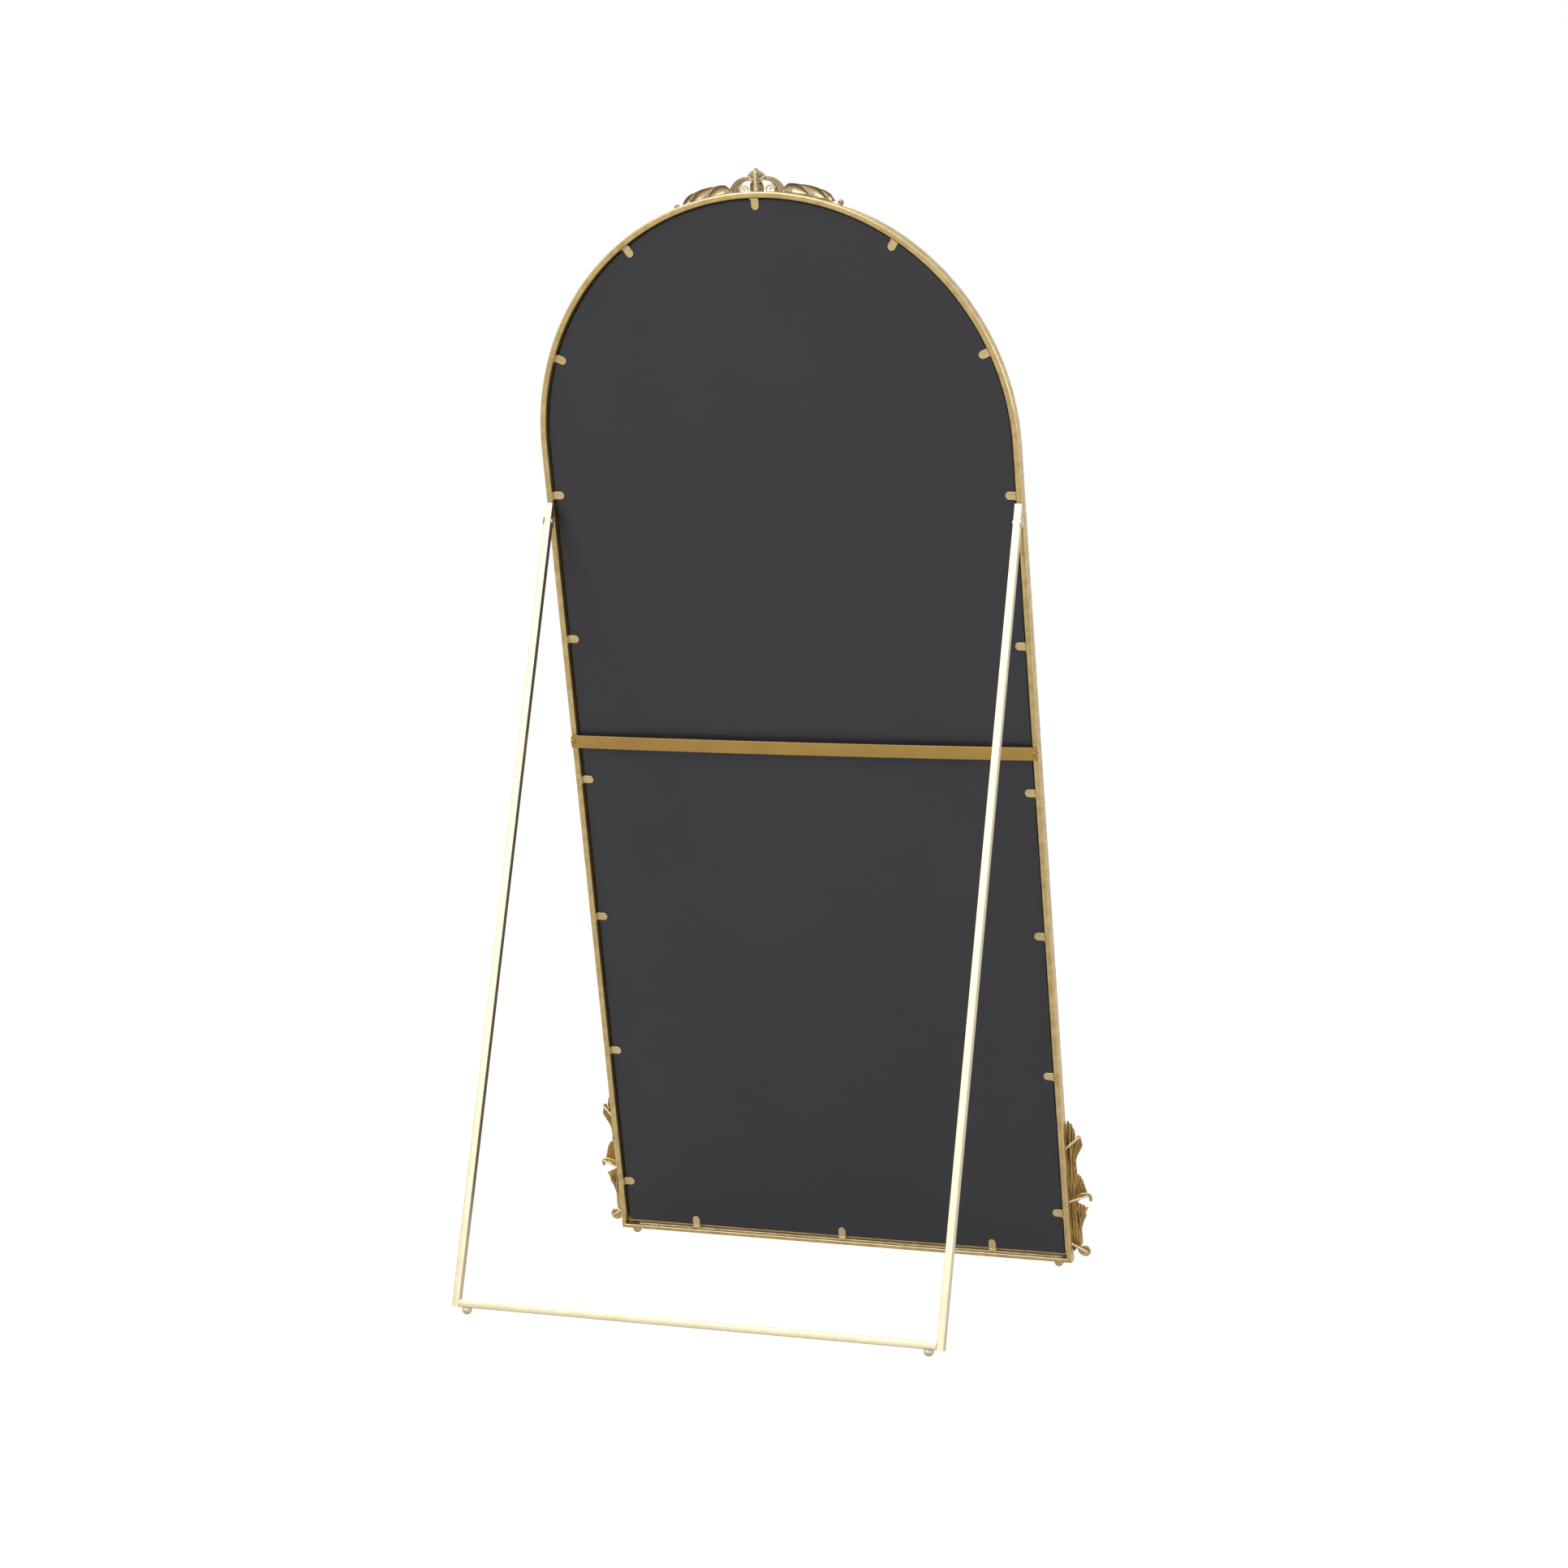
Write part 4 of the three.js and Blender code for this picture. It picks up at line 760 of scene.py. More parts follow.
clip_places = []                         # x, z and the direction outwards, in degrees
for i in range(SIDE_CLIP_COUNT):
    z = SIDE_CLIP_FIRST + i * SIDE_CLIP_PITCH
    clip_places += [(wall_for_clips, z, 0), (-wall_for_clips, z, 180)]
for degrees in ARCH_CLIP_ANGLES:
    angle = math.radians(degrees)
    clip_places.append((wall_for_clips * math.cos(angle),
                        STRAIGHT_HEIGHT + wall_for_clips * math.sin(angle), degrees))
for i in (-1, 0, 1):
    clip_places.append((i * BOTTOM_CLIP_PITCH, FRAME_FACE + FOOT_GAP, 270))


def build_clip_tree():
    tree, given = new_group("clips_on_points", "GeometryNodeTree", [
        ("Places", "Geometry"), ("Clip", "Object"), ("Finish", "Material")], [("Clips", "Geometry")])
    turn = add_node(tree, "GeometryNodeInputNamedAttribute", {"Name": "turn"}, data_type="FLOAT")
    rotation = add_node(tree, "ShaderNodeCombineXYZ", {"Y": turn.outputs[0]})
    clip = add_node(tree, "GeometryNodeObjectInfo", {"Object": given["Clip"]})
    placed = add_node(tree, "GeometryNodeInstanceOnPoints", {
        "Points": given["Places"], "Instance": clip.outputs["Geometry"], "Rotation": rotation.outputs[0]})
    real = add_node(tree, "GeometryNodeRealizeInstances", {"Geometry": placed.outputs[0]})
    painted = add_node(tree, "GeometryNodeSetMaterial", {
        "Geometry": real.outputs[0], "Material": given["Finish"]})
    add_node(tree, "NodeGroupOutput", {"Clips": painted.outputs[0]})
    return tree


# %% Place the clips
places = polyline("clip_places", [(x, 0, z) for x, z, degrees in clip_places])
turn = places.data.attributes.new("turn", "FLOAT", "POINT")
turn.data.foreach_set("value", [math.pi - math.radians(degrees) for x, z, degrees in clip_places])
clips = grown("retaining_clips", places, build_clip_tree(), stamping, Clip=stamping, Finish=clip_gold)
clips.data.transform(MIRROR_BENCH)
clip_nodes = [name for name in frame["nodes"] if name.startswith("clip_")]
finish_piece(clips, "mirror", "antique_gold", clip_nodes)
print(len(clip_places), "clips stand for", len(clip_nodes), "nodes")

# %% [markdown]
# ## The cross strap and its screws
#
# A thin flat bar is sprung across the back and screwed to the uprights. It is drawn as a rounded
# section that is moved along the bow. The pan heads are turned and get a cross recess, cut with a
# boolean, so that the recess is a real hole in the mesh.

# %% Build the strap
STRAP_HEIGHT = 829.5
STRAP_WIDTH = 20.5
STRAP_THICKNESS = 3.0
STRAP_BOW = 6.0
STRAP_CHAMFER = 3.0
STRAP_ROUNDING = 0.7
STRAP_STEPS = 96
strap_half = HALF_WIDTH - 0.5


def strap_front(x):
    return LAY_GAP + STRAP_BOW * (1 - (x / strap_half) ** 2)


def rounded_rectangle(width, height, radius):
    """(a, b) outline centred on the origin."""
    points = []
    for (x, y), start in (((1, 1), 0), ((-1, 1), 90), ((-1, -1), 180), ((1, -1), 270)):
        corner = (x * (width / 2 - radius), y * (height / 2 - radius))
        points += arc_points(corner, radius, start, start + 90, 4)
    return points


def strap_rings():
    section = rounded_rectangle(STRAP_WIDTH, STRAP_THICKNESS, STRAP_ROUNDING)
    rings = []
    ends = [0, 0.5, 1.2, 2, STRAP_CHAMFER]
    stations = ([-strap_half + end for end in ends]
                + [-strap_half + 2 * strap_half * step / STRAP_STEPS for step in range(1, STRAP_STEPS)]
                + [strap_half - end for end in reversed(ends)])
    for x in stations:
        cut = max(0.0, STRAP_CHAMFER - (strap_half - abs(x)))       # the upper corners are cut off
        middle = strap_front(x) + STRAP_THICKNESS / 2
        rings.append([(x, middle + b, STRAP_HEIGHT + min(a, STRAP_WIDTH / 2 - cut)) for a, b in section])
    return rings


strap = solid_from("bowed_strap", *lofted(strap_rings()), MIRROR_BENCH)
finish_piece(strap, "mirror", "ochre_gold", ["cross_strap"], strap_gold)

# %% Build the two pan-head screws
SCREW_HEAD_RADIUS = 4.0
SCREW_HEAD_HEIGHT = 2.4
SCREW_RIM_HEIGHT = 0.9
SCREW_EDGE = 0.25
SCREW_SHANK_RADIUS = 2.0
SCREW_SHANK_LENGTH = 5.0
RECESS_REACH, RECESS_HALF_WIDTH, RECESS_DEPTH = 2.2, 0.45, 1.3
screw_x = HALF_WIDTH - FRAME_FACE / 2


def box_object(name, low, high):
    corners = [(x, y, z) for x in (low[0], high[0]) for y in (low[1], high[1]) for z in (low[2], high[2])]
    faces = [(0, 1, 3, 2), (4, 6, 7, 5), (0, 4, 5, 1), (2, 3, 7, 6), (0, 2, 6, 4), (1, 5, 7, 3)]
    return solid_from(name, corners, faces)


def cut_away(name, body, *cutters):
    """The body less the cutters."""
    for cutter in cutters:
        modifier = body.modifiers.new("cut", "BOOLEAN")
        modifier.operation = "DIFFERENCE"
        modifier.solver = "EXACT"
        modifier.object = cutter
    return plain_copy(body, name, *cutters)


def screw(x):
    seat = strap_front(x) + STRAP_THICKNESS + LAY_GAP / 2
    profile = ([(0, -SCREW_SHANK_LENGTH), (SCREW_SHANK_RADIUS, -SCREW_SHANK_LENGTH),
                (SCREW_SHANK_RADIUS, 0), (SCREW_HEAD_RADIUS - SCREW_EDGE, 0),
                (SCREW_HEAD_RADIUS, SCREW_EDGE)]
               + dome(SCREW_HEAD_RADIUS, SCREW_RIM_HEIGHT, SCREW_HEAD_HEIGHT - SCREW_RIM_HEIGHT, 10)
               + [(0, SCREW_HEAD_HEIGHT)])
    head = solid_from("head", *turned(profile, (0, 1, 0), (x, seat, STRAP_HEIGHT), 48))
    top = seat + SCREW_HEAD_HEIGHT
    arms = [box_object("arm", (x - wide, top - RECESS_DEPTH, STRAP_HEIGHT - tall),
                       (x + wide, top + 1, STRAP_HEIGHT + tall))
            for wide, tall in ((RECESS_REACH, RECESS_HALF_WIDTH), (RECESS_HALF_WIDTH, RECESS_REACH))]
    return cut_away("screw", head, *arms)


work = bmesh.new()
for made in (screw(screw_x), screw(-screw_x)):
    work.from_mesh(made.data)
    bpy.data.objects.remove(made, do_unlink=True)
screw_mesh = bpy.data.meshes.new("strap_screws")
work.to_mesh(screw_mesh)
work.free()
screws = new_object("strap_screws", screw_mesh)
screws.data.transform(MIRROR_BENCH)
finish_piece(screws, "mirror", "ochre_gold", ["strap_screw_right", "strap_screw_left"], strap_gold,
             smooth_below=30)

# %% [markdown]
# ## The stand
#
# Two legs and a rail of solid square bar. A bar is a box whose four long edges are rounded with a
# Bevel modifier, which follows an edge weight. The tops of the legs are cut off level with the
# frame's rear face, where they bear when the stand is open, and each is slotted for its hinge ear.

# %% Build the legs
LEG_SIZE = 11.0
LEG_HALF = LEG_SIZE / 2
LEG_ROUNDING = 0.9
LEG_STUB = 27.0                          # above the pivot
EAR_THICKNESS = 3.0
SLOT_CLEARANCE = 0.3
SLOT_UP = 17.0
SLOT_DOWN = 12.0
SLOT_REAR_WALL = 1.6
LEG_X = HALF_WIDTH - LEG_HALF
LEG_LENGTH = (pivot - mean_point("stand_rail")).length / MM + LEG_HALF


def rounded_bar(name, low, high, along):
    """A bar whose edges along one axis (0, 1 or 2) are rounded."""
    bar = box_object(name + "_box", low, high)
    weight = bar.data.attributes.new("bevel_weight_edge", "FLOAT", "EDGE")
    for edge in bar.data.edges:
        first, second = (bar.data.vertices[i].co for i in edge.vertices)
        if abs(first[along] - second[along]) > 1e-3:
            weight.data[edge.index].value = 1.0
    rounding = bar.modifiers.new("rounding", "BEVEL")
    rounding.limit_method = "WEIGHT"
    rounding.width = LEG_ROUNDING
    rounding.segments = 5
    return plain_copy(bar, name)


def cut_level(piece, point, keep_side):
    """Cuts a piece off at a plane and closes the cut; keep_side points to the part that stays."""
    work = bmesh.new()
    work.from_mesh(piece.data)
    everything = work.verts[:] + work.edges[:] + work.faces[:]
    cut = bmesh.ops.bisect_plane(work, geom=everything, plane_co=point, plane_no=-Vector(keep_side),
                                 clear_outer=True)
    rim = [item for item in cut["geom_cut"] if isinstance(item, bmesh.types.BMEdge)]
    if rim:
        bmesh.ops.edgenet_fill(work, edges=rim)
    work.to_mesh(piece.data)
    work.free()
    face_outwards(piece.data)


slot_half = EAR_THICKNESS / 2 + SLOT_CLEARANCE
for side, word in SIDES:
    x = side * LEG_X
    bar = rounded_bar("bar", (x - LEG_HALF, -LEG_HALF, -LEG_LENGTH), (x + LEG_HALF, LEG_HALF, LEG_STUB), 2)
    slot = box_object("slot", (x - slot_half, -LEG_SIZE, -SLOT_DOWN),
                      (x + slot_half, LEG_HALF - SLOT_REAR_WALL, SLOT_UP))
    leg = cut_away("leg_bar_" + word, bar, slot)
    leg.data.transform(STAND_BENCH)
    cut_level(leg, base + mirror_rear * LAY_GAP * MM, mirror_rear)
    finish_piece(leg, "stand", "antique_gold", ["stand_leg_" + word], lit_stand_gold)

rail_half = LEG_X - LEG_HALF - LAY_GAP
rail = rounded_bar("rail_bar", (-rail_half, -LEG_HALF, -LEG_LENGTH),
                   (rail_half, LEG_HALF, LEG_SIZE - LEG_LENGTH), 0)
rail.data.transform(STAND_BENCH)
face_outwards(rail.data)
finish_piece(rail, "stand", "antique_gold", ["stand_rail"], lit_stand_gold)

# %% [markdown]
# ## The hinge
#
# On each side a low round bolt head shows on the outside of the leg and a small domed nut on the
# inside. Both are turned pieces on the hinge axis. The ear that the leg swings on is a flat plate
# fixed to the frame; it stays as the CAD model has it and only gets the frame's finish.

# %% Build the bolts and nuts
BOLT_HEAD_RADIUS = 7.5
BOLT_HEAD_HEIGHT = 1.6
BOLT_EDGE = 0.5                          # rounding of the head's rim
BOLT_CROWN, BOLT_CROWN_DROP = 0.18, 0.12
BOLT_SHANK_RADIUS = 1.75
NUT_RADIUS = 4.0
NUT_HEIGHT = 2.6
NUT_RIM_HEIGHT = 0.9
TURNED_STEPS = 56


def bolt_profile():
    seat = LEG_HALF + LAY_GAP / 2
    top = seat + BOLT_HEAD_HEIGHT
    edge = arc_points((BOLT_HEAD_RADIUS - BOLT_EDGE, top - BOLT_EDGE), BOLT_EDGE, 0, 78, 5)
    crown = [(radius, top + BOLT_CROWN * (1 - (radius / BOLT_HEAD_RADIUS) ** 2) - BOLT_CROWN_DROP)
             for radius in (6, 4, 2, 0)]
    return [(0, seat - 2), (BOLT_SHANK_RADIUS, seat - 2), (BOLT_SHANK_RADIUS, seat),
            (BOLT_HEAD_RADIUS, seat)] + edge + crown


def nut_profile():
    seat = -LEG_HALF - LAY_GAP / 2
    rounded = dome(NUT_RADIUS, seat - NUT_RIM_HEIGHT, NUT_RIM_HEIGHT - NUT_HEIGHT, 9)
    return [(0, seat), (NUT_RADIUS, seat)] + rounded + [(0, seat - NUT_HEIGHT)]


for side, word in SIDES:
    for name, profile in (("bolt_", bolt_profile()), ("nut_", nut_profile())):
        shape = turned(profile, (side, 0, 0), (side * LEG_X, 0, 0), TURNED_STEPS)
        piece = solid_from(name + word, *shape, STAND_BENCH)
        finish_piece(piece, "stand", "antique_gold", ["pivot_" + name + word], lit_stand_gold)
    ear = frame["nodes"]["hinge_ear_" + word]
    ear.data.materials.clear()
    ear.data.materials.append(frame_gold)

# %% [markdown]
# ## The feet
#
# Four domed glides hang below the bars. Each is a short straight rim and a dome, turned about its
# axis, and worn flat where it stands on the floor, so it is cut off at floor level.

# %% Build the feet
FOOT_RADIUS = 7.5
FOOT_RIM = 3.0
FOOT_DOME = 6.5
FOOT_CHAMFER = 0.4
FOOT_GROOVE, FOOT_GROOVE_HEIGHT = 0.35, 0.5      # the step between the rim and the dome
FOOT_INSET = 23.0
SPHERE_RADIUS = (FOOT_RADIUS ** 2 + FOOT_DOME ** 2) / (2 * FOOT_DOME)


def foot(name, node, bench, place, body, finish):
    edge = math.asin(FOOT_RADIUS / SPHERE_RADIUS)
    centre = SPHERE_RADIUS - FOOT_RIM - FOOT_DOME
    ball = [(SPHERE_RADIUS * math.sin(edge * share), centre - SPHERE_RADIUS * math.cos(edge * share))
            for share in (0.93, 0.85, 0.75, 0.65, 0.55, 0.45, 0.35, 0.25, 0.15, 0.07, 0)]
    neck = FOOT_RADIUS - FOOT_GROOVE
    profile = [(0, 0), (FOOT_RADIUS - FOOT_CHAMFER, 0), (FOOT_RADIUS, -FOOT_CHAMFER),
               (FOOT_RADIUS, -FOOT_RIM + FOOT_GROOVE_HEIGHT), (neck, -FOOT_RIM + FOOT_GROOVE_HEIGHT / 2),
               (neck, -FOOT_RIM)] + ball
    piece = object_from(name, *turned(profile, (0, 0, 1), place, TURNED_STEPS), bench)
    cut_level(piece, (0, 0, 0), (0, 0, 1))
    finish_piece(piece, body, "antique_gold", [node], finish, smooth_below=40)


for side, word in SIDES:
    foot_x = side * (HALF_WIDTH - FOOT_INSET)
    foot("glide_frame_" + word, "frame_foot_" + word, MIRROR_BENCH, (foot_x, FRONT / 2, -LAY_GAP),
         "mirror", frame_gold)
    foot("glide_stand_" + word, "stand_foot_" + word, STAND_BENCH, (foot_x, 0, -LEG_LENGTH - LAY_GAP),
         "stand", lit_stand_gold)

# %% [markdown]
# ## The castings
#
# The crest and the two corner pieces are zinc castings in the shape of acanthus leaves. A carver
# makes such a leaf as a fan: flutes start side by side at the stem, bend together, and end one
# after another in a scalloped edge. A fan is drawn here as a curved sheet between two borders, one
# flute beside the next, with its rear as deep as its front is high, as a thin casting is. Stems,
# hooks and volutes are tapered round strands. All parts of a casting are then fused by a voxel
# remesh, which gives one skin and a small fillet wherever a leaf grows from its stem.
#
# A casting is drawn on a plane of its own: `out` from the frame's outer edge, `along` the frame,
# and `front` forwards of the frame's front face.

# %% Define strands, fans and shells
STRAND_SIDES = 12
REAR_FLATNESS = 0.6                      # a strand's rear is shallower than its front
FAN_ROWS = 18
FLUTE_STEPS = 6
CASTING_WALL = 1.7
SHELL_WALL = 1.5
SHELL_ROWS, SHELL_COLUMNS = 60, 20
LOBE_BASE, LOBE_CROWN = 1.8, 6.5         # heights of a lobe's border, and of its middle above that
LOBE_SLANT = 0.13                        # how far a crease runs on from one border to the other


def smooth_path(points, count):
    """Points spread evenly along a Catmull-Rom curve through the given ones, and its length."""
    knots = np.array(points, float)
    knots = np.vstack([2 * knots[0] - knots[1], knots, 2 * knots[-1] - knots[-2]])
    fine = []
    for i in range(1, len(knots) - 2):
        before, start, end, after = knots[i - 1:i + 3]
        for t in np.linspace(0, 1, 16, endpoint=False):
            fine.append(0.5 * (2 * start + (end - before) * t
                               + (2 * before - 5 * start + 4 * end - after) * t ** 2
                               + (3 * start - before - 3 * end + after) * t ** 3))
    fine.append(knots[-2])
    fine = np.array(fine)
    length = np.concatenate([[0], np.cumsum(np.linalg.norm(np.diff(fine, axis=0), axis=1))])
    at = np.linspace(0, length[-1], count)
    return np.stack([np.interp(at, length, values) for values in fine.T], axis=1), length[-1]


def strand(place, spine, root, tip):
    """A closed tapered tube along (out, along, front) points, with round ends."""
    count = 10 + 5 * len(spine)
    path, length = smooth_path(spine, count)
    rings = []
    for i, point in enumerate(path):
        share = i / (count - 1)
        radius = root + (tip - root) * share
        for distance, end in ((share * length, root), ((1 - share) * length, tip)):
            if distance < end:
                radius *= max(0.12, math.sqrt(1 - (1 - distance / end) ** 2))
        ahead = path[min(i + 1, count - 1)] - path[max(i - 1, 0)]
        across = np.array([ahead[1], -ahead[0], 0.0])
        across /= max(np.linalg.norm(across), 1e-9)
        ring = []
        for step in range(STRAND_SIDES):
            angle = 2 * math.pi * step / STRAND_SIDES
            lift = radius * math.sin(angle) * (1.0 if math.sin(angle) > 0 else REAR_FLATNESS)
            ring.append(place(*(point + across * radius * math.cos(angle) + np.array([0, 0, lift]))))
        rings.append(ring)
    return lofted(rings)


def thick_sheet(place, rows, wall=CASTING_WALL):
    """A closed sheet; rows hold (out, along, front) points of its front face."""
    front = [place(*point) for row in rows for point in row]
    rear = [place(out, along, height - wall) for row in rows for out, along, height in row]
    return front + rear, shell_faces(len(rows), len(rows[0]))


def fan(place, left, right, tips, lift=(2.2, 4.2, 2.2), flute=1.3, crown=0.8, notch=0.035,
        bluntness=2.0):
    """Flutes between two borders. Borders run from root to end; each tip ends one flute.

    A bluntness of 2 rounds the flutes' ends, one of 1 points them.
    """
    left, right, tips = (np.array(points, float) for points in (left, right, tips))
    ribs = len(tips)
    ends = [left[-1]]
    for k in range(1, ribs):
        bend = left[-2] + (right[-2] - left[-2]) * k / ribs
        ends.append((tips[k - 1] + tips[k]) / 2 * (1 - notch) + bend * notch)
    ends.append(right[-1])
    columns = []
    for column in range(ribs * FLUTE_STEPS + 1):
        rib = min(column // FLUTE_STEPS, ribs - 1)
        within = column / FLUTE_STEPS - rib
        round_off = math.sqrt(max(0.0, 1 - (2 * within - 1) ** 2))
        end = ends[rib] + (ends[rib + 1] - ends[rib]) * within
        reach = (1 - abs(2 * within - 1) ** bluntness) ** (1 / bluntness)
        end = end + (tips[rib] - (ends[rib] + ends[rib + 1]) / 2) * reach
        share = column / (ribs * FLUTE_STEPS)
        spine = np.vstack([left[:-1] + (right[:-1] - left[:-1]) * share, end])
        path = smooth_path(spine, FAN_ROWS + 1)[0]
        points = []
        for row, (out, along) in enumerate(path):
            run = row / FAN_ROWS
            height = np.interp(run, (0, 0.5, 1), lift) + crown * (1 - (2 * share - 1) ** 2)
            points.append((out, along, height + flute * round_off * min(1.0, 0.25 + 2.0 * run)))
        columns.append(points)
    rows = [[points[row] for points in columns] for row in range(FAN_ROWS + 1)]
    return thick_sheet(place, rows)


def boss(place, centre, level, radius, height):
    """A round boss with a domed front and a shallower domed rear, about a level of its own."""
    profile = [(radius * math.cos(math.radians(angle)),
                level + (height if angle > 0 else REAR_FLATNESS * height) * math.sin(math.radians(angle)))
               for angle in range(-80, 81, 16)]
    circle = arc_points(centre, 1.0, 0, 345, 23)
    rings = [[place(centre[0] + (out - centre[0]) * wide, centre[1] + (along - centre[1]) * wide, front)
              for out, along in circle] for wide, front in profile]
    return lofted(rings)


def lobed_shell(place, spine, widths, creases):
    """A hollow leaf of puffed lobes in a row; creases are the shares of its length between lobes."""
    path = smooth_path(spine, SHELL_ROWS + 1)[0]
    grid = []
    for row in range(SHELL_ROWS + 1):
        share = row / SHELL_ROWS
        half = np.interp(share, np.linspace(0, 1, len(widths)), widths)
        ahead = path[min(row + 1, SHELL_ROWS)] - path[max(row - 1, 0)]
        across = np.array([ahead[1], -ahead[0]]) / np.linalg.norm(ahead)
        points = []
        for column in range(SHELL_COLUMNS + 1):
            v = -1 + 2 * column / SHELL_COLUMNS
            phase = np.interp(share + LOBE_SLANT * v, creases, range(len(creases)))
            puff = abs(math.sin(math.pi * phase)) ** 0.6
            taper = min(1.0, 5 * share + 0.25, 5 * (1 - share) + 0.25)
            height = LOBE_BASE + LOBE_CROWN * math.sqrt(max(0.0, 1 - v * v)) * (0.35 + 0.65 * puff) * taper
            out, along = path[row] + across * v * half * (0.9 + 0.1 * puff)
            points.append((out, along, height))
        grid.append(points)
    return thick_sheet(place, grid, SHELL_WALL)


print("strands, fans and shells ready")

# %% [markdown]
# A remeshed skin needs its shading from somewhere. Real castings are glazed brown and wiped, so
# brown stays where the metal lies lower than what is round it. That is measured on the mesh: the
# vertices are smoothed a few times, and a vertex that lies below the smoothed skin is in a hollow,
# one above it is on a ridge. Thin rims get painted shade in the glaze colour as well, and the crest
# is darkened round its curls. The two values are stored as attributes for the material.

# %% Fuse a casting and measure its hollows
VOXEL = 0.5                              # mm
HOLLOW_START, HOLLOW_FULL = 0.06, 0.5    # mm below the smoothed skin
RIDGE_START, RIDGE_FULL = 0.1, 0.42      # mm above it
SMOOTHING_ROUNDS = 14
SOFTENING_ROUNDS = 4
DARK_SPOT_RADIUS, DARK_SPOT_DEPTH = 7.0, 0.62    # how far round each given spot the casting is darkened, and how much


def fused(name, solids):
    vertices, faces = [], []
    for some_vertices, some_faces in solids:
        offset = len(vertices)
        vertices += some_vertices
        faces += [tuple(corner + offset for corner in face) for face in some_faces]
    rough = solid_from(name + "_parts", vertices, faces)
    remesh = rough.modifiers.new("fuse", "REMESH")
    remesh.mode = "VOXEL"
    remesh.voxel_size = VOXEL
    smooth = rough.modifiers.new("soften", "SMOOTH")
    smooth.factor = 0.5
    smooth.iterations = SOFTENING_ROUNDS
    return plain_copy(rough, name)


def mesh_values(collection, key, width, kind=float):
    """One row of numbers for each vertex, normal or edge of a mesh."""
    values = np.empty(len(collection) * width, kind)
    collection.foreach_get(key, values)
    return values.reshape(-1, width)


def measure_relief(mesh, dark_spots):
    points = mesh_values(mesh.vertices, "co", 3)
    normals = mesh_values(mesh.vertex_normals, "vector", 3)
    first, second = mesh_values(mesh.edges, "vertices", 2, int).T
    count = len(points)
    neighbours = np.maximum(np.bincount(first, minlength=count) + np.bincount(second, minlength=count), 1)

    def averaged(values):
        total = np.bincount(first, values[second], count) + np.bincount(second, values[first], count)
        return total / neighbours

    smoothed = points
    for _ in range(SMOOTHING_ROUNDS):
        smoothed = np.stack([averaged(values) for values in smoothed.T], axis=1)
    depth = averaged(averaged(np.sum((smoothed - points) * normals, axis=1)))
    ridge = (-depth - RIDGE_START) / (RIDGE_FULL - RIDGE_START)
    # thin rims, whose normals lie in the casting's plane, get painted shade in the glaze colour and no
    # rubbed light
    rim = averaged(averaged(np.clip(1.4 - 2 * np.abs(normals[:, 1]), 0, 1) * np.clip(3 * ridge, 0, 1)))
    wiped = np.clip(0.5 - 2 * normals[:, 1], 0.15, 1)        # the front, at -y, was wiped, the rear hardly
    hollow = np.maximum((depth - HOLLOW_START) / (HOLLOW_FULL - HOLLOW_START), rim)
    for centre in dark_spots:
        near = DARK_SPOT_RADIUS - np.linalg.norm(points - centre, axis=1)
        hollow = np.maximum(hollow, DARK_SPOT_DEPTH * np.clip(near, 0, 1))
    for name, values in (("hollow", hollow), ("ridge", ridge * wiped * (1 - rim))):
        layer = mesh.attributes.new(name, "FLOAT", "POINT")
        layer.data.foreach_set("value", np.clip(values, 0, 1).astype(np.float32))


def casting(name, node, solids, finish, dark_spots=()):
    piece = fused(name, solids)
    measure_relief(piece.data, dark_spots)
    piece.data.transform(MIRROR_BENCH)
    finish_piece(piece, "mirror", "antique_gold", [node], finish, smooth_below=180)


# %% [markdown]
# ### The corner pieces
#
# From the stem, which runs up beside the frame, a leaf rises to a point, a second leaf turns
# outwards, a third one opens above a hooked tendril, a fourth below it, and the stem ends in a
# round volute. Smaller leaves lie over the frame's front. The left one mirrors the right one.

# %% Build the two corner castings
CASTING_GAP = 0.3                        # to the frame's front face
VOLUTE_CENTRE = (16.5, 14.5)
# height on the frame, height at the casting, reach beyond the frame's outer edge
SIDE_RODS = ((189, 207.5, 20.5), (100, 109.5, 29), (30, 13.5, 23))


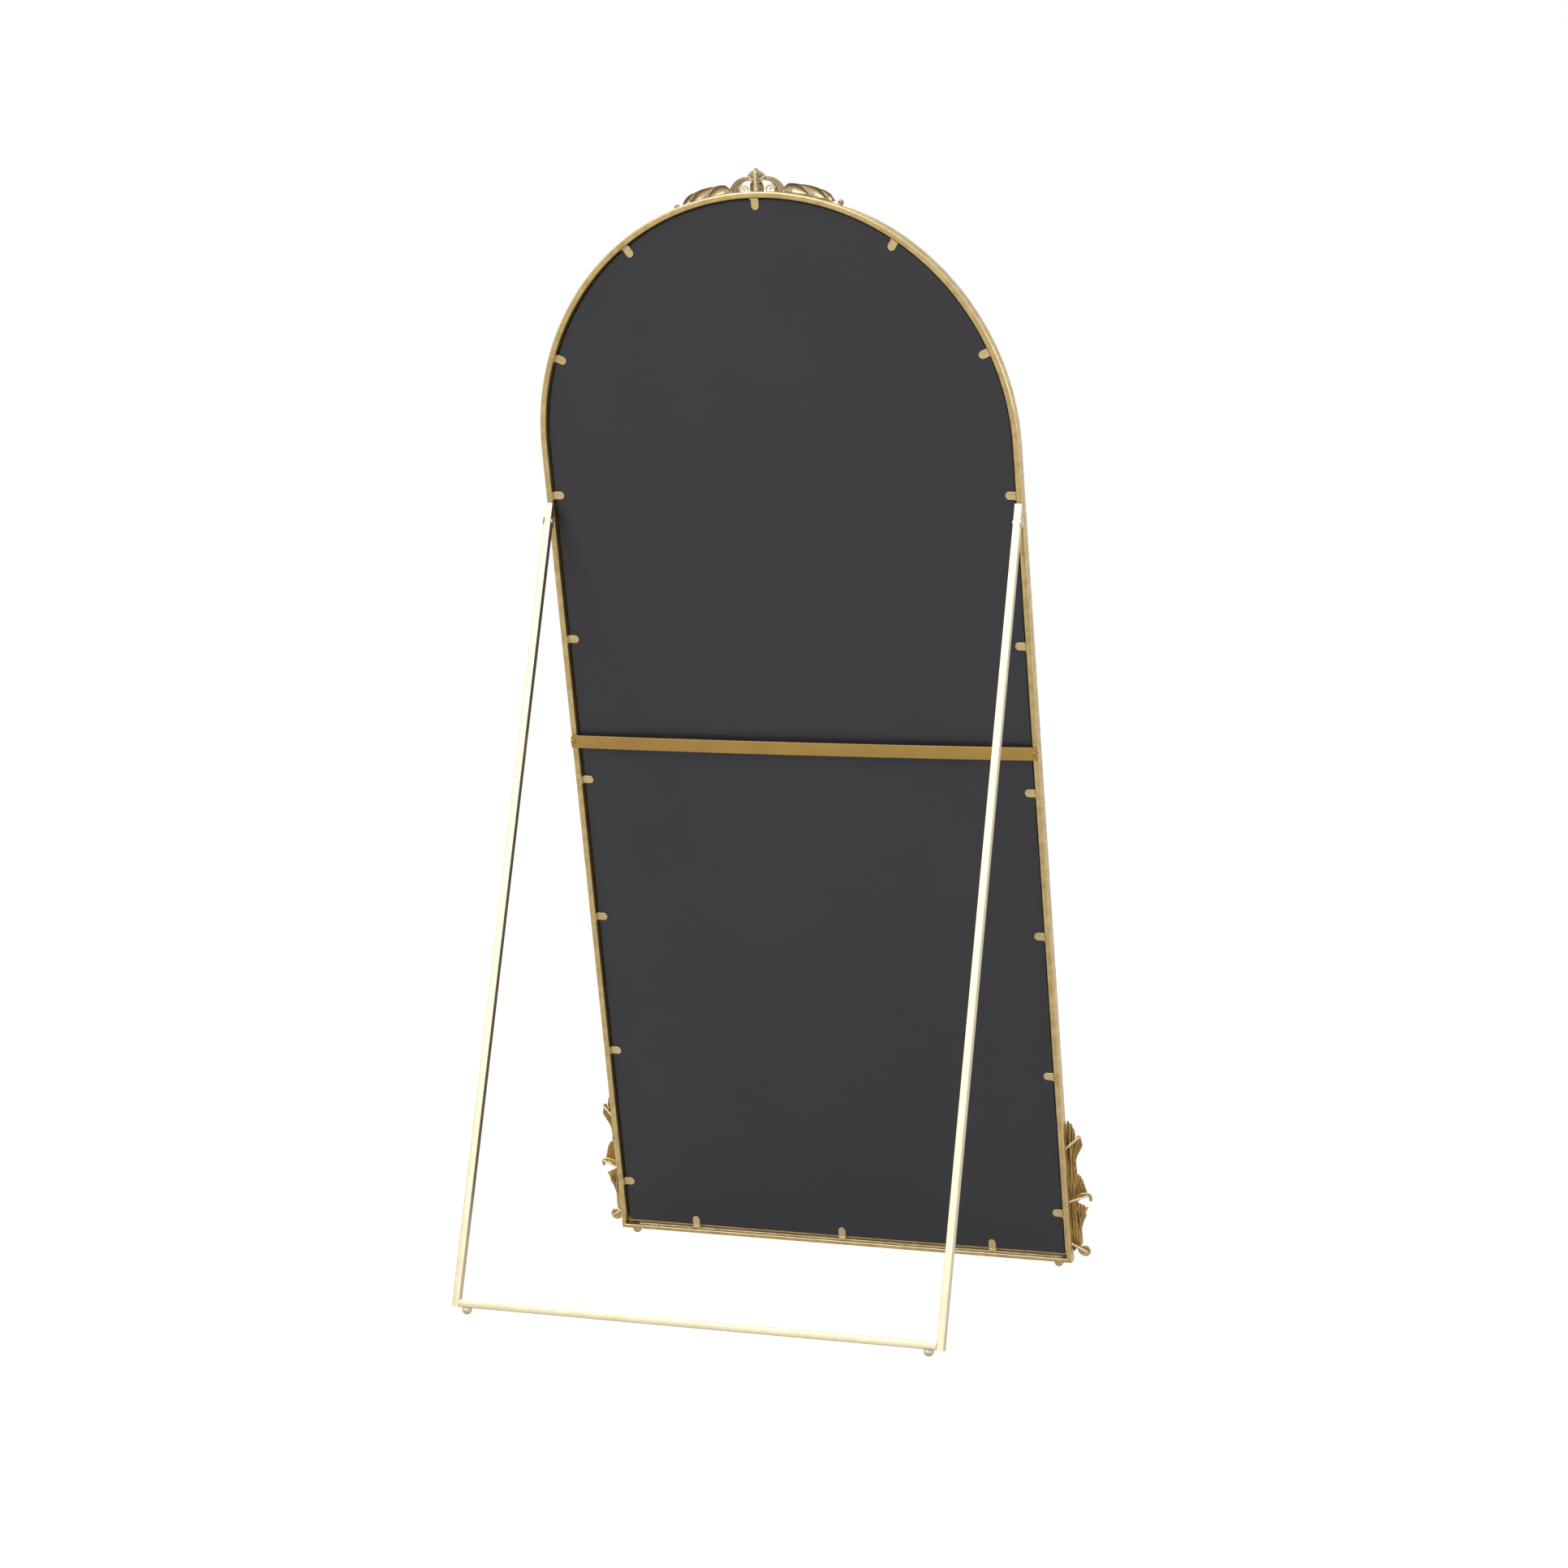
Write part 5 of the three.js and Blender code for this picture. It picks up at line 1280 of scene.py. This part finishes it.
def side_solids(place):
    flat = (1.8, 2.8, 1.9)
    return [
        # outer leaves, from the top down
        fan(place, [(-7, 108), (-9, 165), (-5, 212)], [(7, 108), (7.5, 165), (12.5, 205)],
            [(-3, 222), (1.8, 231.5), (7.5, 226), (11.8, 216)]),
        fan(place, [(4, 118), (6, 145), (7.5, 174), (13.5, 203)],
            [(9.5, 118), (11.5, 145), (11.8, 167), (21.5, 187)],
            [(16.5, 208), (20.8, 205), (22.2, 199.5), (23.6, 192.5)]),
        fan(place, [(1, 98), (5, 118), (9, 141)], [(12, 98), (19, 104), (25.5, 111)],
            [(12.5, 143.5), (16.8, 140), (20.6, 133), (23, 124.5), (25.6, 116)], flute=1.5),
        fan(place, [(2, 32), (3, 64), (6, 96)], [(9.5, 30), (12, 56), (21.6, 82.6)],
            [(9, 97.5), (14, 93.2), (19, 91.4), (26.4, 87.6)], flute=1.5),
        fan(place, [(7, 32), (10, 58), (17.5, 82)], [(12.5, 28), (14.8, 54), (20.6, 70)],
            [(21, 80), (23, 75)], flute=1.3),
        # inner leaves, over the frame's front
        fan(place, [(-1, 118), (-2, 165), (-5, 209)], [(-8, 114), (-11, 150), (-14.5, 180)],
            [(-9, 212), (-14, 203), (-15.8, 190)], flat),
        fan(place, [(-1, 98), (-3, 118), (-5, 141)], [(-6, 97), (-11.5, 100), (-16, 105)],
            [(-9, 141), (-15.5, 132), (-18.4, 116)], flat, flute=1.4),
        fan(place, [(-1, 40), (-3, 70), (-5, 96)], [(-6, 36), (-10, 52), (-14, 66)],
            [(-9, 96), (-16, 88), (-18.5, 74)], flat, flute=1.4),
        fan(place, [(6, 36), (-4, 31), (-11, 28)], [(8, 22), (-2, 11), (-13, 3.5)],
            [(-15.5, 26), (-23.6, 19), (-22.8, 9.5), (-16.5, 4)], (1.3, 2.3, 1.4), flute=1.4),
        # the web along the stem, the stem itself and its side ribs
        fan(place, [(-7.4, 30), (-7.8, 74), (-7.6, 124)], [(10, 30), (8.4, 74), (7.6, 124)],
            [(-5, 126), (-1.4, 127), (2.2, 127), (5.8, 126)], (1.6, 2.6, 2.0), flute=1.1, crown=0.4),
        strand(place, [(1, 212, 3), (2.6, 165, 3.4), (1, 124, 3.2), (3, 80, 3.2), (7.5, 50, 3),
                       (9.5, 30, 2.4), (9, 20, 1.6)], 1.6, 3.4),
        strand(place, [(10.5, 84, 2), (12.2, 60, 2.6), (12.6, 40, 2.2), (12, 24, 1.8)], 0.6, 2.4),
        # the hooked tendril, the volute with its dished disc, and the seats of the upper two rods
        strand(place, [(6, 103, 2.4), (15, 108.5, 2.6), (24, 109.5, 2.4), (30.3, 107, 2.2),
                       (31.6, 101.5, 2.2)], 3.4, 2.9),
        boss(place, (31, 101.2), 2.4, 3.1, 1.9),
        strand(place, [(9, 26, 1.6), (8, 15, 1.4), (13.2, 8.6, 1.3), (20.6, 8.4, 1.3), (24.2, 14.5, 1.3),
                       (20.6, 20.6, 1.3), (13.6, 20.8, 1.3)], 2.6, 2.4),
        boss(place, VOLUTE_CENTRE, 1.7, 8.2, 1.4),
        boss(place, VOLUTE_CENTRE, 3.2, 3, 1.6),
        *[boss(place, (reach - 2.5, height - 1), 1.4, 2.6, 1.5) for _, height, reach in SIDE_RODS[:2]],
    ]


for side, word in SIDES:
    def place_on_side(out, along, front, side=side):
        return side * (HALF_WIDTH + out), FRONT - CASTING_GAP - front, along

    casting("corner_leaves_" + word, "side_casting_" + word, side_solids(place_on_side), casting_gold)

# %% [markdown]
# ### The crest
#
# A palmette stands over a drop, between two C-scrolls whose inner ends curl into small volutes.
# A long leaf of three puffed lobes follows the arch on each side and ends in a round curl. The
# leaves are thin shells, so from behind their lobes are bright hollows.

# %% Build the crest
CURL = (0, 131.5)


def arch_placing(side):
    """Carries (out, along, front) to the bench, along the arch from its top to one side."""
    def place(out, along, front):
        angle = side * along / HALF_WIDTH
        radius = HALF_WIDTH + out
        return (radius * math.sin(angle), FRONT - CASTING_GAP - front,
                STRAIGHT_HEIGHT + radius * math.cos(angle))

    return place


def crest_solids():
    solids = []
    for side, _ in SIDES:
        place = arch_placing(side)
        solids += [
            # the C-scroll and the fingers of its volute
            fan(place, [(16, 1), (19.3, 13), (17.8, 25), (12.5, 35), (2, 44), (-6, 47)],
                [(9, 1), (12.2, 11), (11.5, 19), (7, 25.5), (-1, 28.5), (-8, 28)],
                [(-7, 44), (-8, 38), (-9, 32)], (2.6, 4.2, 2), flute=2.0),
            strand(place, [(2, 30, 2), (6.4, 25, 2.4), (6.6, 19.4, 2.4), (3.4, 15.2, 2.2), (-4, 14, 1.8)],
                   1.7, 1.2),
            strand(place, [(0, 29, 2), (2.6, 25, 2.2), (2.6, 21, 2.2), (-4, 18.6, 1.8)], 1.4, 1.1),
            # the leaf along the arch and the curl at its end
            lobed_shell(place, [(-1, 41), (3.0, 56), (4.0, 80), (2.8, 103), (-2.5, 122)],
                        [3.5, 9.5, 9.3, 9.0, 8.8, 8.6, 8.2, 7.0, 3.0], [0, 0.43, 0.8, 1.12]),
            strand(place, [(-7, 40, 1.5), (-6.5, 64, 2), (-6.5, 90, 2), (-6, 114, 1.5)], 2.4, 2.0),
            strand(place, [(-6, 112, 2), (-4, 122, 2), (-1.5, 129, 2)], 2.6, 3.0),
            boss(place, CURL, 2, 4.6, 3.4),
            strand(place, [(-7, -2, 1.5), (-7, 20, 2), (-7, 44, 1.5)], 3.0, 2.6),
            # half of the pendant below the arch
            fan(place, [(-4, 0), (-12, 0), (-25, 0)], [(-4, 7), (-12, 11), (-17, 13)],
                [(-26.5, 2), (-20, 10.5)], (2.2, 3.6, 2.0), flute=1.4),
        ]
    solids += [
        # the palmette, the drop, the knob under it and the seat of the rod
        fan(place, [(9, -3), (14, -8.5), (18.3, -14.5)], [(9, 3), (14, 8.5), (18.3, 14.5)],
            [(21.4, -13.2), (25.2, -9.6), (32.2, 0), (25.2, 9.6), (21.4, 13.2)], (2.4, 4.2, 2.2), flute=1.7,
            notch=0.05, bluntness=1.15),
        fan(place, [(17, -1.5), (9, -9.5), (-1, -11), (-9, -7)], [(17, 1.5), (9, 9.5), (-1, 11), (-9, 7)],
            [(-13, 0)], (2.2, 2.4, 2.0), flute=4.5, crown=0.5),
        boss(place, (-10, 0), 1.8, 3.4, 3),
        boss(place, (25, 0), 1.8, 3, 2.6),
    ]
    return solids


casting("crest_leaves", "crest_casting", crest_solids(), lit_crest_gold,
        dark_spots=[arch_placing(side)(*CURL, 2) for side, _ in SIDES])

# %% [markdown]
# ## The rods behind the castings
#
# Plain wire rods carry the castings: one behind the crest, three beside each corner piece. Each has a
# small flare of brazing metal where it meets the frame and a rounded end at the casting.

# %% Build the rods
ROD_RADIUS = 1.7
CREST_ROD_RADIUS = 2.2
CREST_ROD_START = 0.2                    # above the frame's top
CREST_ROD_LENGTH = 30
FLARE = 0.5                              # of the radius, added by the brazing metal
FLARE_RUN = 2.2                          # its length, in radii
ROD_DEPTH_IN_FRAME = 1.5
ROD_CUT = 0.15                           # the side rods begin this far outside the frame


def rod(name, node, start, end, radius, edge_x=None):
    along = Vector(end) - Vector(start)
    flared = [(radius * (1 + FLARE * (1 - share) ** 2.2), FLARE_RUN * radius * share)
              for share in (0, 0.15, 0.3, 0.5, 0.75, 1)]
    rounded = dome(radius, along.length - radius, radius, 6)
    profile = [(0, 0)] + flared + rounded + [(0, along.length)]
    piece = solid_from(name, *turned(profile, along, start, 24))
    if edge_x is not None:               # cut flush with the frame's outer side
        cut_level(piece, (edge_x, 0, 0), (edge_x, 0, 0))
    piece.data.transform(MIRROR_BENCH)
    finish_piece(piece, "mirror", "antique_gold", [node], rod_gold, smooth_below=40)


crest_top = STRAIGHT_HEIGHT + HALF_WIDTH
rod_y = FRONT + CREST_ROD_RADIUS
rod("crest_stay", "crest_rod", (0, rod_y, crest_top + CREST_ROD_START),
    (0, rod_y, crest_top + CREST_ROD_LENGTH), CREST_ROD_RADIUS)

for side, word in SIDES:
    for i, (from_z, to_z, reach) in enumerate(SIDE_RODS, 1):
        start = (side * (HALF_WIDTH - ROD_DEPTH_IN_FRAME), FRONT / 2, from_z)
        end = (side * (HALF_WIDTH + reach), FRONT + ROD_RADIUS, to_z)
        rod(f"stay_{word}_{i}", f"side_rod_{word}_{i}", start, end, ROD_RADIUS,
            side * (HALF_WIDTH + ROD_CUT))

# %% [markdown]
# ## The size
#
# The dressed object must be as big as the imported one. Both boxes are printed.

# %% Print the sizes
finished_size = [[list(corner) for corner in box] for box in (cad_box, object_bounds())]
print("CAD and finished box",
      [[[round(value, 4) for value in corner] for corner in box] for box in finished_size])
